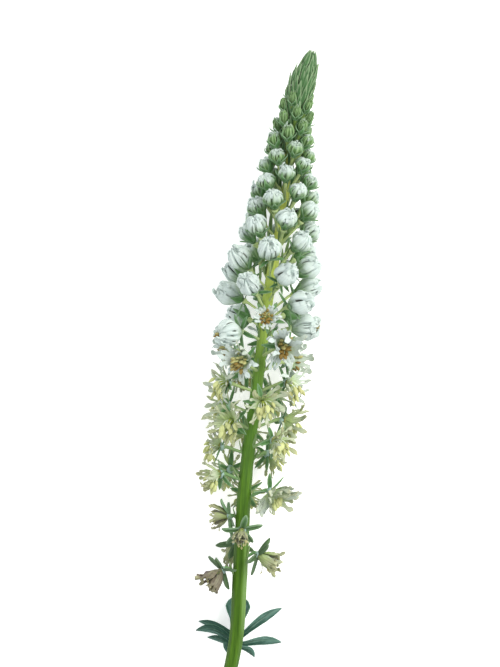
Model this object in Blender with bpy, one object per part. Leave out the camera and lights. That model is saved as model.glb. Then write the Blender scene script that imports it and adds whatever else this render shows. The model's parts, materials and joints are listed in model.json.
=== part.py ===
"""White mignonette: one cut flower spike with its last leaf, lying on its side.

Metres, +Z up, the surface that it lies on at Z = 0. The spike lies along +Y with its tip
forward, and +X is its right side as seen from above. The origin is under the middle of its box.
The flowers stand on the stem in a spiral of golden-angle steps: withered at the bottom, then
open, then white buds, then green buds and the bracts of the growing tip.
"""

import math
import random

import bmesh
import bpy
from mathutils import Vector

MM = 0.001

# Stem: places of its centre line from the cut end to the tip (X, Y in mm), and its width there.
STEM_LINE = [(-8.3, -72.4), (-5.3, -57.4), (-4.5, -44.0), (-3.1, -22.2), (-0.5, -1.0), (1.4, 14.5),
             (3.2, 26.0), (5.4, 38.5), (6.5, 49.5), (8.5, 62.0), (10.1, 68.0), (11.3, 72.4)]
STEM_WIDTHS = [(-72.4, 3.1), (-48.0, 3.0), (-13.0, 2.6), (8.0, 2.3), (30.0, 1.9), (48.0, 1.5),
               (62.0, 1.1), (68.0, 0.9)]
STEM_TOP = 68.0
STEM_RIBS = 6
STEM_GROOVE = 0.87
STEM_STEP = 6.3
AXIS_HEIGHT = 9.9

# Middle of the whole box, in the stem line's own X and Y, which becomes the origin.
BOX_MIDDLE = Vector((-0.17, -0.27, 0.0))

# Spiral: the lowest flower's place and direction, and the steps up the stem (Y, step in mm).
GOLDEN_ANGLE = 137.508
FIRST_Y = -47.3
FIRST_AZIMUTH = 144.2
LAST_Y = 62.2
STEPS = [(-48.6, 3.66), (-26.6, 1.82), (-9.0, 1.71), (4.2, 1.47), (17.4, 1.15), (30.6, 0.85),
         (43.8, 0.74), (52.6, 0.6), (62.5, 0.54)]
FALLEN = {0, 5, 7, 12}
NUDGES = {2: (0.6, 14.0), 4: (0.5, 24.0), 8: (0.5, 14.0), 9: (3.2, -12.0), 10: (-2.0, 4.0),
          14: (-2.2, 0.0)}

# Growth along the spike: (Y, value), in mm and degrees.
CENTRE_RADII = [(-42.0, 6.7), (-30.0, 6.7), (-24.0, 8.4), (-15.0, 9.0), (-5.0, 9.4), (8.6, 9.6),
                (17.4, 8.6), (27.3, 7.7), (38.3, 6.0), (47.1, 4.3), (54.8, 3.2), (62.2, 2.3)]
RISES = [(-42.0, -30.0), (-24.0, -8.0), (-5.0, 0.0), (15.0, 4.0), (27.3, 22.0), (33.0, 38.0),
         (38.3, 48.0), (47.1, 56.0), (54.8, 64.0), (62.2, 74.0)]
LENGTHS = [(-42.0, 6.2), (-30.0, 6.2), (-24.0, 5.4), (0.0, 5.6), (17.4, 6.3), (27.3, 6.0), (38.3, 4.8),
           (47.1, 4.0), (54.8, 3.3), (62.2, 2.6)]
HALF_WIDTHS = [(-42.0, 3.2), (-24.0, 4.2), (8.0, 4.4), (17.4, 2.8), (27.3, 2.7), (38.3, 2.3),
               (47.1, 1.95), (54.8, 1.5), (62.2, 1.1)]
FIRST_GREEN_BUD = 40.0
FIRST_WHITE_BUD = 12.2
FULLY_OPEN = 3.0
LAST_OPEN = -26.0
EARLY_STAR = 33

# Pieces of a flower, in mm and degrees. A stalk starts inside the stem, sunk by a share of the
# stem's width, and it leans forward by a share of its reach, more where the flower rises.
STALK_RADIUS = 0.42
BUD_STALK_RADIUS = 0.36
STALK_SINK = 0.25
STALK_LEAN = 0.25
STALK_RISE = 0.9
CUP_RADIUS = 1.0
CUP_HEIGHT = 0.9
CUP_FOOT = 1.3
SEPAL_ROOT = 0.8
NEIGHBOUR_REACH = 14.0
SEAT_GAP = 0.3
CELL_GAP = 0.3
GREEN_GAP = 0.04
HEART_RADIUS = 0.95
HEART_FOOT = 0.85
OPEN_HEIGHT = 1.7
SEED_CASE = (2.1, 1.15)
SEED_CASE_HEIGHT = 3.1
ANTHER = [(1.3, 0.3), (0.75, 0.55)]
BLADE = 0.6
PETALS = 5
SEPALS = 5
SEPAL_FORMS = {"white bud": (46, 3.2), "open": (98, 3.4), "withered": (92, 4.0)}
PETAL_LENGTH = 5.0
BUD_LOBES = 5
BUD_SLIT = 0.82
WIDEST_BUD = 2.8
BUD_PROFILE = [(0.0, 0.34), (0.16, 0.74), (0.44, 1.0), (0.76, 0.8), (0.94, 0.38)]

# Petals: how far they lean out at the root, less so in a flower that has just opened, and how
# much further they bend on their way, in degrees.
OPEN_LEAN = 38
YOUNG_LEAN = 24
OPEN_SPREAD = 34
LEAN_PLAY = 3

# Petal outlines past the two root points: (share of length, half-width), and their triangles.
LOBED_PETAL = [(0.46, -1.2), (0.6, -0.5), (0.6, 0.5), (0.46, 1.2), (0.86, -1.95),
               (1.0, -0.62), (1.0, 0.62), (0.86, 1.95)]
LOBED_TRIANGLES = [(0, 1, 4), (0, 4, 3), (0, 3, 2), (1, 5, 4), (2, 3, 6), (3, 4, 8), (3, 8, 7),
                   (4, 5, 9)]
DRY_PETAL = [(0.55, -0.8), (0.5, 0.7), (1.0, 0.3)]
DRY_TRIANGLES = [(0, 1, 3), (0, 3, 2), (2, 3, 4)]

# Green buds with their bracts, then the growing tip: its rows of bracts (Y, radius in mm), and
# the outline that the bracts reach.
BRACT_OUT = 1.6
BRACT_RISE = 0.6
GREEN_PROFILE = [(0.04, 0.5), (0.4, 1.0), (0.8, 0.74)]
TIP_ROWS = [(58.5, 1.2), (61.0, 2.2), (63.4, 2.6), (65.8, 2.4), (68.0, 1.9)]
TIP_OUTLINE = [(57.5, 1.6), (60.2, 2.6), (62.8, 3.0), (65.2, 3.0), (67.6, 2.6), (69.8, 1.7),
               (72.4, 0.3)]
TIP_CORE = 0.75
TIP_BRACT_ROOT = 0.6
TIP_END = 71.4
TIP_SIDES = 7
TIP_BRACT_LENGTH = 4.0
TIP_BRACT_WIDTH = 1.1

# Leaf under the stem: its rachis, and its lobes from root to point (X, Y, Z in mm; width).
RACHIS = [(-5.5, -61.6, 7.5), (-5.0, -58.6, 5.6), (-4.9, -55.6, 3.6), (-4.9, -53.4, 2.4)]
RACHIS_RADIUS = 0.5
LEAF_LOBES = [
    ((-4.9, -54.4, 2.8), (-4.9, -48.0, 0.7), 5.8),
    ((-4.9, -56.2, 3.9), (4.7, -50.7, 0.32), 2.3),
    ((-5.0, -57.6, 4.9), (4.7, -57.9, 0.6), 1.7),
    ((-5.0, -58.9, 5.7), (-1.2, -61.4, 3.6), 1.5),
    ((-4.9, -55.9, 3.8), (-13.4, -53.1, 0.32), 2.1),
    ((-5.0, -57.0, 4.5), (-14.1, -54.9, 0.5), 1.8),
    ((-5.0, -58.2, 5.2), (-11.5, -57.2, 2.2), 1.6),
]

LOBE_ARCH = 0.12
LOBE_STATIONS = [(0.0, 0.35, 0.0), (0.3, 0.85, 0.8), (0.6, 1.0, 1.0), (0.85, 0.6, 0.5)]

GREEN = (0.13, 0.26, 0.06)
LEAF_GREEN = (0.06, 0.16, 0.10)
PETAL_CREAM = (0.62, 0.68, 0.42)
BUD_WHITE = (0.62, 0.72, 0.66)
WITHERED = (0.42, 0.34, 0.22)


def clear_scene():
    """Remove every object, so that the script can be run again."""
    for item in list(bpy.data.objects):
        bpy.data.objects.remove(item, do_unlink=True)


def read(knots, place):
    """Value at a place on a line through (place, value) knots."""
    if place <= knots[0][0]:
        return knots[0][1]
    for (x0, v0), (x1, v1) in zip(knots, knots[1:]):
        if place <= x1:
            return v0 + (v1 - v0) * (place - x0) / (x1 - x0)
    return knots[-1][1]


def axis_point(y):
    """Centre of the stem at length Y (mm), on a smooth curve through the stem line."""
    line = STEM_LINE
    index = 0
    while index < len(line) - 2 and y > line[index + 1][1]:
        index += 1
    (x0, y0), (x1, y1) = line[index], line[index + 1]
    before = line[max(index - 1, 0)]
    after = line[min(index + 2, len(line) - 1)]
    slope0 = (x1 - before[0]) / (y1 - before[1])
    slope1 = (after[0] - x0) / (after[1] - y0)
    span = y1 - y0
    t = (y - y0) / span
    x = (x0 * (2 * t ** 3 - 3 * t ** 2 + 1) + slope0 * span * (t ** 3 - 2 * t ** 2 + t)
         + x1 * (3 * t ** 2 - 2 * t ** 3) + slope1 * span * (t ** 3 - t ** 2))
    return Vector((x, y, AXIS_HEIGHT))


def axis_frame(y):
    """Directions at Y: along the stem, to its right and up."""
    along = (axis_point(y + 0.5) - axis_point(y - 0.5)).normalized()
    up = Vector((0, 0, 1))
    return along, along.cross(up), up


def outward(y, azimuth):
    """Direction away from the stem: azimuth 0 is up, and 90 is to the right."""
    _, right, up = axis_frame(y)
    angle = math.radians(azimuth)
    return up * math.cos(angle) + right * math.sin(angle)


class Solid:
    """Closed faceted body (points in mm) that is walled up ring by ring."""

    def __init__(self):
        self.points = []
        self.faces = []

    def add(self, points):
        """Add points and return their numbers."""
        first = len(self.points)
        self.points += points
        return tuple(range(first, len(self.points)))

    def wall(self, lower, upper):
        """Faces between two rings of equal count, which are returned in order."""
        count = len(lower)
        faces = [(lower[side], lower[(side + 1) % count], upper[(side + 1) % count], upper[side])
                 for side in range(count)]
        self.faces += faces
        return faces

    def cap(self, ring):
        """Close a ring with a flat face."""
        self.faces.append(ring)

    def fan(self, ring, tip):
        """Close a ring with a point, and return the faces."""
        peak, = self.add([tip])
        count = len(ring)
        faces = [(ring[side], ring[(side + 1) % count], peak) for side in range(count)]
        self.faces += faces
        return faces

    def pull(self, face, tip):
        """Draw a face out to a point."""
        self.faces.remove(face)
        self.fan(face, tip)


def tube(rings, tip=None):
    """Solid through rings of equal count, ending flat or in a point."""
    solid = Solid()
    last = solid.add(rings[0])
    solid.cap(last)
    for points in rings[1:]:
        following = solid.add(points)
        solid.wall(last, following)
        last = following
    if tip is None:
        solid.cap(last)
    else:
        solid.fan(last, tip)
    return solid


def ring(centre, u, v, radius, count, turn=0.0, groove=1.0):
    """Points round a centre in the plane of u and v, every other one drawn in by the groove."""
    points = []
    for index in range(count):
        angle = turn + 2 * math.pi * index / count
        reach = radius * (groove if index % 2 else 1.0)
        points.append(centre + (u * math.cos(angle) + v * math.sin(angle)) * reach)
    return points


def blade_offsets(points, triangles, thickness=BLADE):
    """Half of a blade's thickness at each point of its middle surface, square to it."""
    normals = [Vector() for _ in points]
    for a, b, c in triangles:
        normal = (points[b] - points[a]).cross(points[c] - points[a])
        for corner in (a, b, c):
            normals[corner] += normal
    return [normal.normalized() * thickness / 2 for normal in normals]


def wall_blade(solid, upper, lower, triangles, root=()):
    """Faces of a blade between two like sets of points, open only at its root edge."""
    edges = {edge for a, b, c in triangles for edge in ((a, b), (b, c), (c, a))}
    for a, b, c in triangles:
        solid.faces += [(upper[a], upper[b], upper[c]), (lower[c], lower[b], lower[a])]
    for start, end in sorted(edges):
        if (end, start) not in edges and {start, end} != set(root):
            solid.faces += [(upper[end], upper[start], lower[start]),
                            (upper[end], lower[start], lower[end])]


def largest_inside(make, walls, least=0.3):
    """Points that make(size) gives, at the largest size up to 1 that stays inside the walls."""
    def inside(size):
        return all(normal.dot(point) <= reach for point in make(size)
                   for normal, reach in walls)

    if inside(1.0):
        return make(1.0)
    low, high = least, 1.0
    for _ in range(12):
        middle = (low + high) / 2
        if inside(middle):
            low = middle
        else:
            high = middle
    return make(low)


def flower_sites():
    """Every flower and bud on the spiral: where it sits, how it faces and its stage."""
    sites = []
    y = FIRST_Y
    index = 0
    while y < LAST_Y:
        if index not in FALLEN:
            shift, turn = NUDGES.get(index, (0.0, 0.0))
            azimuth = FIRST_AZIMUTH + GOLDEN_ANGLE * index + turn
            sites.append(flower_site(index, y + shift, azimuth))
        y += read(STEPS, y)
        index += 1
    return sites


def flower_site(index, y, azimuth):
    """One flower: its seat on the pedicel, its axis and its sizes."""
    rise = math.radians(read(RISES, y))
    along, _, _ = axis_frame(y)
    out = outward(y, azimuth)
    length = read(LENGTHS, y)
    centre = axis_point(y) + out * read(CENTRE_RADII, y)
    axis = out * math.cos(rise) + along * math.sin(rise)
    seat = centre - axis * length / 2
    side = axis.cross(along).normalized()
    if y > FIRST_GREEN_BUD:
        stage = "green bud"
    elif y > FIRST_WHITE_BUD and index != EARLY_STAR:
        stage = "white bud"
    elif y > LAST_OPEN:
        stage = "open"
    else:
        stage = "withered"
    return {"index": index, "y": y, "stage": stage, "centre": centre, "seat": seat, "axis": axis,
            "u": side, "v": axis.cross(side), "out": out, "along": along,
            "rise": math.sin(rise), "length": length, "half_width": read(HALF_WIDTHS, y),
            "spin": random.Random(index).uniform(0, 2 * math.pi)}


def cell_walls(site, sites):
    """Planes that a flower stays inside: halfway to each neighbour, and the surface below."""
    walls = [(Vector((0, 0, -1)), 0.0)]
    for other in sites:
        apart = other["centre"] - site["centre"]
        distance = apart.length
        if other is site or distance > NEIGHBOUR_REACH:
            continue
        normal = apart / distance
        lead = (site["half_width"] ** 2 - other["half_width"] ** 2) / (2 * distance)
        middle = normal.dot(site["centre"]) + distance / 2 + lead
        both_green = site["stage"] == other["stage"] == "green bud"
        walls.append((normal, middle - (GREEN_GAP if both_green else CELL_GAP) / 2))
    return walls


def flower_direction(site, angle, polar):
    """Direction at an angle round a flower's axis, leaning out from the axis by polar degrees."""
    lean = math.radians(polar)
    out = site["u"] * math.cos(angle) + site["v"] * math.sin(angle)
    return site["axis"] * math.cos(lean) + out * math.sin(lean)


def stalk_foot(site):
    """Where a flower's stalk leaves the middle of the stem, some way below its seat."""
    seat = site["seat"]
    apart = (seat - axis_point(seat.y)).dot(site["out"])
    foot_y = seat.y - apart * (STALK_LEAN + STALK_RISE * max(site["rise"], 0.0))
    return axis_point(foot_y) + site["out"] * STALK_SINK * read(STEM_WIDTHS, foot_y)


def stalk_and_calyx(site, walls):
    """Stalk from inside the stem, and the green cup whose sides draw out into the sepals."""
    seat, axis, u, v, spin = (site[key] for key in ("seat", "axis", "u", "v", "spin"))
    foot = stalk_foot(site)
    cup_foot = seat - axis * CUP_HEIGHT
    run = (cup_foot - foot).normalized()
    across = run.cross(axis_frame(seat.y)[0]).normalized()
    solid = Solid()
    rings = [
        ring(foot, across, run.cross(across), STALK_RADIUS, SEPALS, spin),
        ring(cup_foot, u, v, STALK_RADIUS * CUP_FOOT, SEPALS, spin),
        ring(seat, u, v, CUP_RADIUS, SEPALS, spin),
    ]
    rings[0] = matched(rings[0], rings[1])
    lower = solid.add(rings[0])
    solid.cap(lower)
    middle = solid.add(rings[1])
    solid.wall(lower, middle)
    upper = solid.add(rings[2])
    sides = solid.wall(middle, upper)
    solid.cap(upper)
    polar, length = SEPAL_FORMS[site["stage"]]
    for number, side in enumerate(sides):
        angle = spin + 2 * math.pi * (number + 0.5) / SEPALS
        heading = flower_direction(site, angle, polar)

        def make(size):
            return [seat + flower_direction(site, angle, 90) * CUP_RADIUS * SEPAL_ROOT
                    + heading * length * size]

        solid.pull(side, largest_inside(make, walls, 0.15)[0])
    return solid


def matched(points, others):
    """The ring of points turned so that it runs most nearly parallel to the other ring."""
    count = len(points)
    turns = [points[turn:] + points[:turn] for turn in range(count)]
    turns += [list(reversed(turned)) for turned in turns]
    middle = sum(points, Vector()) / count
    centre = sum(others, Vector()) / count
    return min(turns, key=lambda turned: sum(
        ((a - middle) - (b - centre)).length for a, b in zip(turned, others)))


def petal_path(site, angle, length, lean, spread, share):
    """Way from a petal's root along its middle: it leans out more and more."""
    start, gain = math.radians(lean), math.radians(spread)
    end = start + gain * share
    reach = length / gain * (math.cos(start) - math.cos(end))
    rise = length / gain * (math.sin(end) - math.sin(start))
    return flower_direction(site, angle, 90) * reach + site["axis"] * rise


def grow_petal(solid, site, side, angle, form, outline, triangles, walls):
    """Petal from a side of the heart: outline is (share of length, half-width) points."""
    length, lean, spread = form
    lower_pair, upper_pair = (side[0], side[1]), (side[3], side[2])
    left, right = ((solid.points[low] + solid.points[high]) / 2
                   for low, high in zip(lower_pair, upper_pair))
    root = (left + right) / 2
    across = (right - left).normalized()

    def make(size):
        middle = [left, right]
        for share, width in outline:
            along = petal_path(site, angle, length * size, lean, spread, share)
            middle.append(root + along + across * width * size)
        offsets = blade_offsets(middle, triangles)
        return ([p + o for p, o in zip(middle[2:], offsets[2:])]
                + [p - o for p, o in zip(middle[2:], offsets[2:])])

    points = solid.add(largest_inside(make, walls))
    count = len(outline)
    faces = (points[:count], points[count:])
    facing = blade_facing(solid, faces, site["axis"])
    solid.faces.remove(side)
    wall_blade(solid, upper_pair + faces[facing], lower_pair + faces[1 - facing], triangles,
               (0, 1))


def blade_facing(solid, faces, axis):
    """Which of a blade's two faces (0 or 1) lies further along the flower's axis."""
    heights = [sum(axis.dot(solid.points[number]) for number in face) for face in faces]
    return 0 if heights[0] > heights[1] else 1


def grow_stamen(solid, site, face, polar, length, walls):
    """Thread from a top face of the heart, with a plump anther at its end."""
    corners = [solid.points[number] for number in face]
    root = sum(corners, Vector()) / 3
    out = root - site["seat"]
    out -= site["axis"] * out.dot(site["axis"])
    angle = math.atan2(out.dot(site["v"]), out.dot(site["u"]))
    heading = flower_direction(site, angle, polar)
    across = heading.cross(site["axis"]).normalized()
    third = heading.cross(across)

    def make(size):
        points = []
        for back, radius in ANTHER:
            level = ring(root + heading * (length * size - back), across, third, radius, 3)
            points += matched(level, corners)
        return points + [root + heading * length * size]

    points = largest_inside(make, walls)
    solid.faces.remove(face)
    neck = solid.add(points[:3])
    belly = solid.add(points[3:6])
    solid.wall(face, neck)
    solid.wall(neck, belly)
    solid.fan(belly, points[6])


def heart(site, levels, height):
    """Body at the heart of a flower: returns it with its side faces and its top faces."""
    seat, axis, u, v, spin = (site[key] for key in ("seat", "axis", "u", "v", "spin"))
    solid = Solid()
    rings = [solid.add(ring(seat + axis * level, u, v, radius, PETALS, spin))
             for level, radius in levels]
    solid.cap(rings[0])
    sides = solid.wall(rings[0], rings[1])
    for lower, upper in zip(rings[1:], rings[2:]):
        solid.wall(lower, upper)
    tops = solid.fan(rings[-1], seat + axis * height)
    return solid, sides, tops


def open_flower(site, walls):
    """Five three-lobed petals and the stamens round the ovary."""
    youth = min(max((site["y"] - FULLY_OPEN) / (FIRST_WHITE_BUD - FULLY_OPEN), 0.0), 1.0)
    lean = OPEN_LEAN + (YOUNG_LEAN - OPEN_LEAN) * youth
    draw = random.Random(site["index"] + 500)
    levels = [(SEAT_GAP, HEART_FOOT), (SEAT_GAP + BLADE, HEART_RADIUS)]
    solid, sides, tops = heart(site, levels, OPEN_HEIGHT)
    for number, side in enumerate(sides):
        angle = site["spin"] + 2 * math.pi * (number + 0.5) / PETALS
        form = (PETAL_LENGTH, lean + draw.uniform(-LEAN_PLAY, LEAN_PLAY), OPEN_SPREAD)
        grow_petal(solid, site, side, angle, form, LOBED_PETAL, LOBED_TRIANGLES, walls)
    for number, face in enumerate(tops):
        polar = draw.uniform(15, 19) if number % 2 else draw.uniform(22, 28 - 6 * youth)
        grow_stamen(solid, site, face, polar, draw.uniform(3.2, 4.2), walls)
    return solid


def withered_flower(site, walls):
    """Dry petals and two last threads round the swelling seed case."""
    draw = random.Random(site["index"] + 500)
    levels = [(SEAT_GAP, HEART_FOOT), (SEAT_GAP + BLADE, HEART_RADIUS), SEED_CASE]
    solid, sides, tops = heart(site, levels, SEED_CASE_HEIGHT)
    for number, side in enumerate(sides):
        angle = site["spin"] + 2 * math.pi * (number + 0.5) / PETALS
        form = (draw.uniform(4.2, 5.6), draw.uniform(22, 34), draw.uniform(10, 36))
        grow_petal(solid, site, side, angle, form, DRY_PETAL, DRY_TRIANGLES, walls)
    for face in tops[:2]:
        grow_stamen(solid, site, face, draw.uniform(8, 14), draw.uniform(2.4, 3.4), walls)
    return solid


def white_bud(site, walls):
    """Ribbed ovoid of folded petals, standing on the cup."""
    seat, axis, u, v, spin = (site[key] for key in ("seat", "axis", "u", "v", "spin"))

    def make(size):
        width, tall = min(site["half_width"], WIDEST_BUD) * size, site["length"] * size
        points = []
        for level, share in BUD_PROFILE:
            centre = seat + axis * (SEAT_GAP + tall * level)
            points += ring(centre, u, v, width * share, BUD_LOBES * 2, spin, BUD_SLIT)
        return points + [seat + axis * (SEAT_GAP + tall)]

    points = largest_inside(make, walls)
    sides = BUD_LOBES * 2
    rings = [points[row * sides:(row + 1) * sides] for row in range(len(BUD_PROFILE))]
    return tube(rings, points[-1])


def green_bud(site, walls):
    """Young bud on its stalk, from inside the stem, with a pointed bract on its outer side."""
    axis, u, v, spin = (site[key] for key in ("axis", "u", "v", "spin"))
    foot = stalk_foot(site)
    run = (site["seat"] - foot).normalized()
    across = run.cross(site["along"]).normalized()

    def make(size):
        width, tall = site["half_width"] * size, site["length"] * size
        low = site["centre"] - axis * tall / 2
        points = []
        for level, share in GREEN_PROFILE:
            points += ring(low + axis * tall * level, u, v, width * share, 4, spin)
        return points + [low + axis * tall]

    points = largest_inside(make, walls)
    rings = [points[row * 4:row * 4 + 4] for row in range(3)]
    base = matched(ring(foot, across, run.cross(across), BUD_STALK_RADIUS, 4), rings[0])
    solid = Solid()
    first = solid.add(base)
    solid.cap(first)
    second = solid.add(rings[0])
    stalk_sides = solid.wall(first, second)
    third = solid.add(rings[1])
    solid.wall(second, third)
    fourth = solid.add(rings[2])
    solid.wall(third, fourth)
    solid.fan(fourth, points[-1])
    below = (site["out"] - run * site["out"].dot(run)).normalized()
    middles = {side: sum((solid.points[number] for number in side), Vector()) / 4
               for side in stalk_sides}
    outer = max(stalk_sides, key=lambda side: below.dot(middles[side]))

    def bract(size):
        return [middles[outer] + (below * BRACT_OUT + run * BRACT_RISE) * size]

    solid.pull(outer, largest_inside(bract, walls)[0])
    return solid


def tip_shapes():
    """Growing point of the spike: a slim cone, and the narrow bracts pressed round it."""
    core = []
    shapes = []
    for row, (y, radius) in enumerate(TIP_ROWS):
        along, right, up = axis_frame(y)
        turn = row * math.pi / TIP_SIDES
        core.append(ring(axis_point(y), up, right, radius * TIP_CORE, TIP_SIDES, turn))
        middle, point = y + TIP_BRACT_LENGTH / 2, y + TIP_BRACT_LENGTH
        for number in range(TIP_SIDES):
            angle = turn + 2 * math.pi * number / TIP_SIDES
            out = up * math.cos(angle) + right * math.sin(angle)
            across = out.cross(along)
            places = [axis_point(y) + out * radius * TIP_CORE * TIP_BRACT_ROOT,
                      axis_point(middle) + out * read(TIP_OUTLINE, middle)]
            rings = [ring(place, out, across, TIP_BRACT_WIDTH / 2, 3, math.pi) for place in places]
            shapes.append(tube(rings, axis_point(point) + out * read(TIP_OUTLINE, point)))
    return [tube(core, axis_point(TIP_END))] + shapes


def stem_tube():
    """Ribbed stem from its flat cut end to the growing tip."""
    rings = []
    steps = round((STEM_TOP - STEM_LINE[0][1]) / STEM_STEP)
    for step in range(steps + 1):
        y = STEM_LINE[0][1] + (STEM_TOP - STEM_LINE[0][1]) * step / steps
        _, right, up = axis_frame(y)
        width = read(STEM_WIDTHS, y)
        rings.append(ring(axis_point(y), up, right, width / 2, STEM_RIBS * 2, 0.0, STEM_GROOVE))
    return tube(rings)


def leaf_lobe(root, point, width):
    """Pointed lobe from the rachis, arched down to its point."""
    root, point = Vector(root), Vector(point)
    run = point - root
    flat = Vector((run.x, run.y, 0)).normalized()
    across = Vector((-flat.y, flat.x, 0))
    arch = Vector((0, 0, LOBE_ARCH * run.length))
    points = []
    for share, breadth, rise in LOBE_STATIONS:
        centre = root + run * share + arch * rise
        points += [centre - across * width / 2 * breadth, centre + across * width / 2 * breadth]
    points.append(point)
    triangles = []
    for row in range(len(LOBE_STATIONS) - 1):
        a = row * 2
        triangles += [(a, a + 1, a + 3), (a, a + 3, a + 2)]
    triangles.append((len(points) - 3, len(points) - 2, len(points) - 1))
    solid = Solid()
    offsets = blade_offsets(points, triangles)
    upper = solid.add([p + o for p, o in zip(points, offsets)])
    lower = solid.add([p - o for p, o in zip(points, offsets)])
    wall_blade(solid, upper, lower, triangles)
    return solid


def leaf_shapes():
    """Rachis with three pairs of lobes and the broad lobe at its end."""
    rings = []
    places = [Vector(place) for place in RACHIS]
    for index, place in enumerate(places):
        run = places[min(index + 1, len(places) - 1)] - places[max(index - 1, 0)]
        across = Vector((1, 0, 0))
        rings.append(ring(place, across, run.cross(across).normalized(), RACHIS_RADIUS, 5))
    return [tube(rings)] + [leaf_lobe(*lobe) for lobe in LEAF_LOBES]


def make_object(name, solid, collection):
    """Mesh object in metres from a solid in mm, with its faces outward."""
    mesh = bpy.data.meshes.new(name)
    mesh.from_pydata([(point - BOX_MIDDLE) * MM for point in solid.points], [], solid.faces)
    sheet = bmesh.new()
    sheet.from_mesh(mesh)
    bmesh.ops.recalc_face_normals(sheet, faces=sheet.faces)
    bmesh.ops.triangulate(sheet, faces=sheet.faces)
    sheet.to_mesh(mesh)
    sheet.free()
    item = bpy.data.objects.new(name, mesh)
    collection.objects.link(item)
    return item


def keep_main_body(mesh):
    """Drop scraps and the walls of sealed hollows that the union left: keep the largest body."""
    sheet = bmesh.new()
    sheet.from_mesh(mesh)
    left = set(sheet.verts)
    bodies = []
    while left:
        body = set()
        reached = [left.pop()]
        while reached:
            vert = reached.pop()
            body.add(vert)
            near = {edge.other_vert(vert) for edge in vert.link_edges} & left
            left -= near
            reached += near
        bodies.append(body)
    main = max(bodies, key=len)
    scraps = [vert for body in bodies if body is not main for vert in body]
    bmesh.ops.delete(sheet, geom=scraps, context="VERTS")
    bmesh.ops.triangulate(sheet, faces=sheet.faces)
    sheet.to_mesh(mesh)
    sheet.free()


def fuse(name, shapes, collection, material):
    """One closed, painted body from one shape or several overlapping ones."""
    body = make_object(name, shapes[0], collection)
    if len(shapes) > 1:
        join(body, shapes[1:])
    body.data.materials.clear()
    body.data.materials.append(material)
    body.data.shade_smooth()
    body.data.set_sharp_from_angle(angle=math.radians(40))


def join(body, shapes):
    """Fuse shapes to a body by a single union."""
    name = body.name
    added = bpy.data.collections.new(name + "_added")
    bpy.context.scene.collection.children.link(added)
    for number, shape in enumerate(shapes):
        make_object(f"{name}_added_{number}", shape, added)
    union = body.modifiers.new("union", "BOOLEAN")
    union.operation = "UNION"
    union.operand_type = "COLLECTION"
    union.collection = added
    union.solver = "MANIFOLD"
    view = bpy.context.evaluated_depsgraph_get()
    mesh = bpy.data.meshes.new_from_object(body.evaluated_get(view))
    body.modifiers.remove(union)
    for item in list(added.objects):
        bpy.data.objects.remove(item, do_unlink=True)
    bpy.data.collections.remove(added)
    keep_main_body(mesh)
    body.data = mesh


def paint(name, colour, roughness):
    """Plain Principled material."""
    material = bpy.data.materials.new(name)
    material.use_nodes = True
    shader = material.node_tree.nodes["Principled BSDF"]
    shader.inputs["Base Color"].default_value = (*colour, 1)
    shader.inputs["Roughness"].default_value = roughness
    shader.inputs["Metallic"].default_value = 0.0
    return material


def build():
    """The whole spike: green stem with its buds, the flowers and the leaf."""
    clear_scene()
    collection = bpy.data.collections.new("mignonette_flower")
    bpy.context.scene.collection.children.link(collection)
    sites = flower_sites()
    green_shapes = [stem_tube()] + tip_shapes()
    number = 0
    for site in sites:
        walls = cell_walls(site, sites)
        if site["stage"] == "green bud":
            green_shapes.append(green_bud(site, walls))
            continue
        green_shapes.append(stalk_and_calyx(site, walls))
        number += 1
        name = f"bloom_{number:02d}"
        if site["stage"] == "white bud":
            shape, colour = white_bud(site, walls), BUD_WHITE
        elif site["stage"] == "open":
            shape, colour = open_flower(site, walls), PETAL_CREAM
        else:
            shape, colour = withered_flower(site, walls), WITHERED
        fuse(name, [shape], collection, paint(name, colour, 0.55))
    fuse("flower_stem", green_shapes, collection, paint("flower_stem", GREEN, 0.5))
    fuse("leaf", leaf_shapes(), collection, paint("leaf", LEAF_GREEN, 0.5))


build()
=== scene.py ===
"""White mignonette flower: the looks of one cut spike, laid out as a Blender add-on.

Run as a script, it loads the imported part, dresses every node in a finer piece and stages it on a
pale floor. Lengths are in millimetres and turn into metres where a mesh is made. The spike lies
along +Y with its tip forward, +X on its right and the floor at Z = 0.
"""

import functools
import json
import math
import random

import bpy
import numpy as np
from mathutils import Matrix, Vector

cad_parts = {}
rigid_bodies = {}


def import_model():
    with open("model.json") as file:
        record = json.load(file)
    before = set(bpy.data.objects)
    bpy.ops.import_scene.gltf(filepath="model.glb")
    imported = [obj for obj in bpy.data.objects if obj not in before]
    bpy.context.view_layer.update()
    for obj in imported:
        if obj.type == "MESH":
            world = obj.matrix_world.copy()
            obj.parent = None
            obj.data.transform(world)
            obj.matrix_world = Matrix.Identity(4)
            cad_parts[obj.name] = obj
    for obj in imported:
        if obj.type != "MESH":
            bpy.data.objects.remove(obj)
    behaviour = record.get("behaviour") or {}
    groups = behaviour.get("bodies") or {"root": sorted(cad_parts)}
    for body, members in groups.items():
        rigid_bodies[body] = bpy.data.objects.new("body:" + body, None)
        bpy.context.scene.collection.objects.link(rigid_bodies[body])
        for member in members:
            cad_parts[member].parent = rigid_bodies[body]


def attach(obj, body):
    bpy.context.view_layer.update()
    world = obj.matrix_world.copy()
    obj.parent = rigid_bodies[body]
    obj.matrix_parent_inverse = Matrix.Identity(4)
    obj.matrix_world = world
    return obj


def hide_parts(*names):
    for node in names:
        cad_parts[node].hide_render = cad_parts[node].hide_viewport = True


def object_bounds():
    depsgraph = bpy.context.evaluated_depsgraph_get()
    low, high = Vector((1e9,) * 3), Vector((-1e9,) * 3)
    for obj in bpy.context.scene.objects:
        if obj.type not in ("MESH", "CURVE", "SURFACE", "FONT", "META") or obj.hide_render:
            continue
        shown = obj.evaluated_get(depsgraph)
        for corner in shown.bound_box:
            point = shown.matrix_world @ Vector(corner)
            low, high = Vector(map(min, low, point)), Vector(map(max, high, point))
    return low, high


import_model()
CAD_BOX = [list(corner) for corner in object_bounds()]

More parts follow.
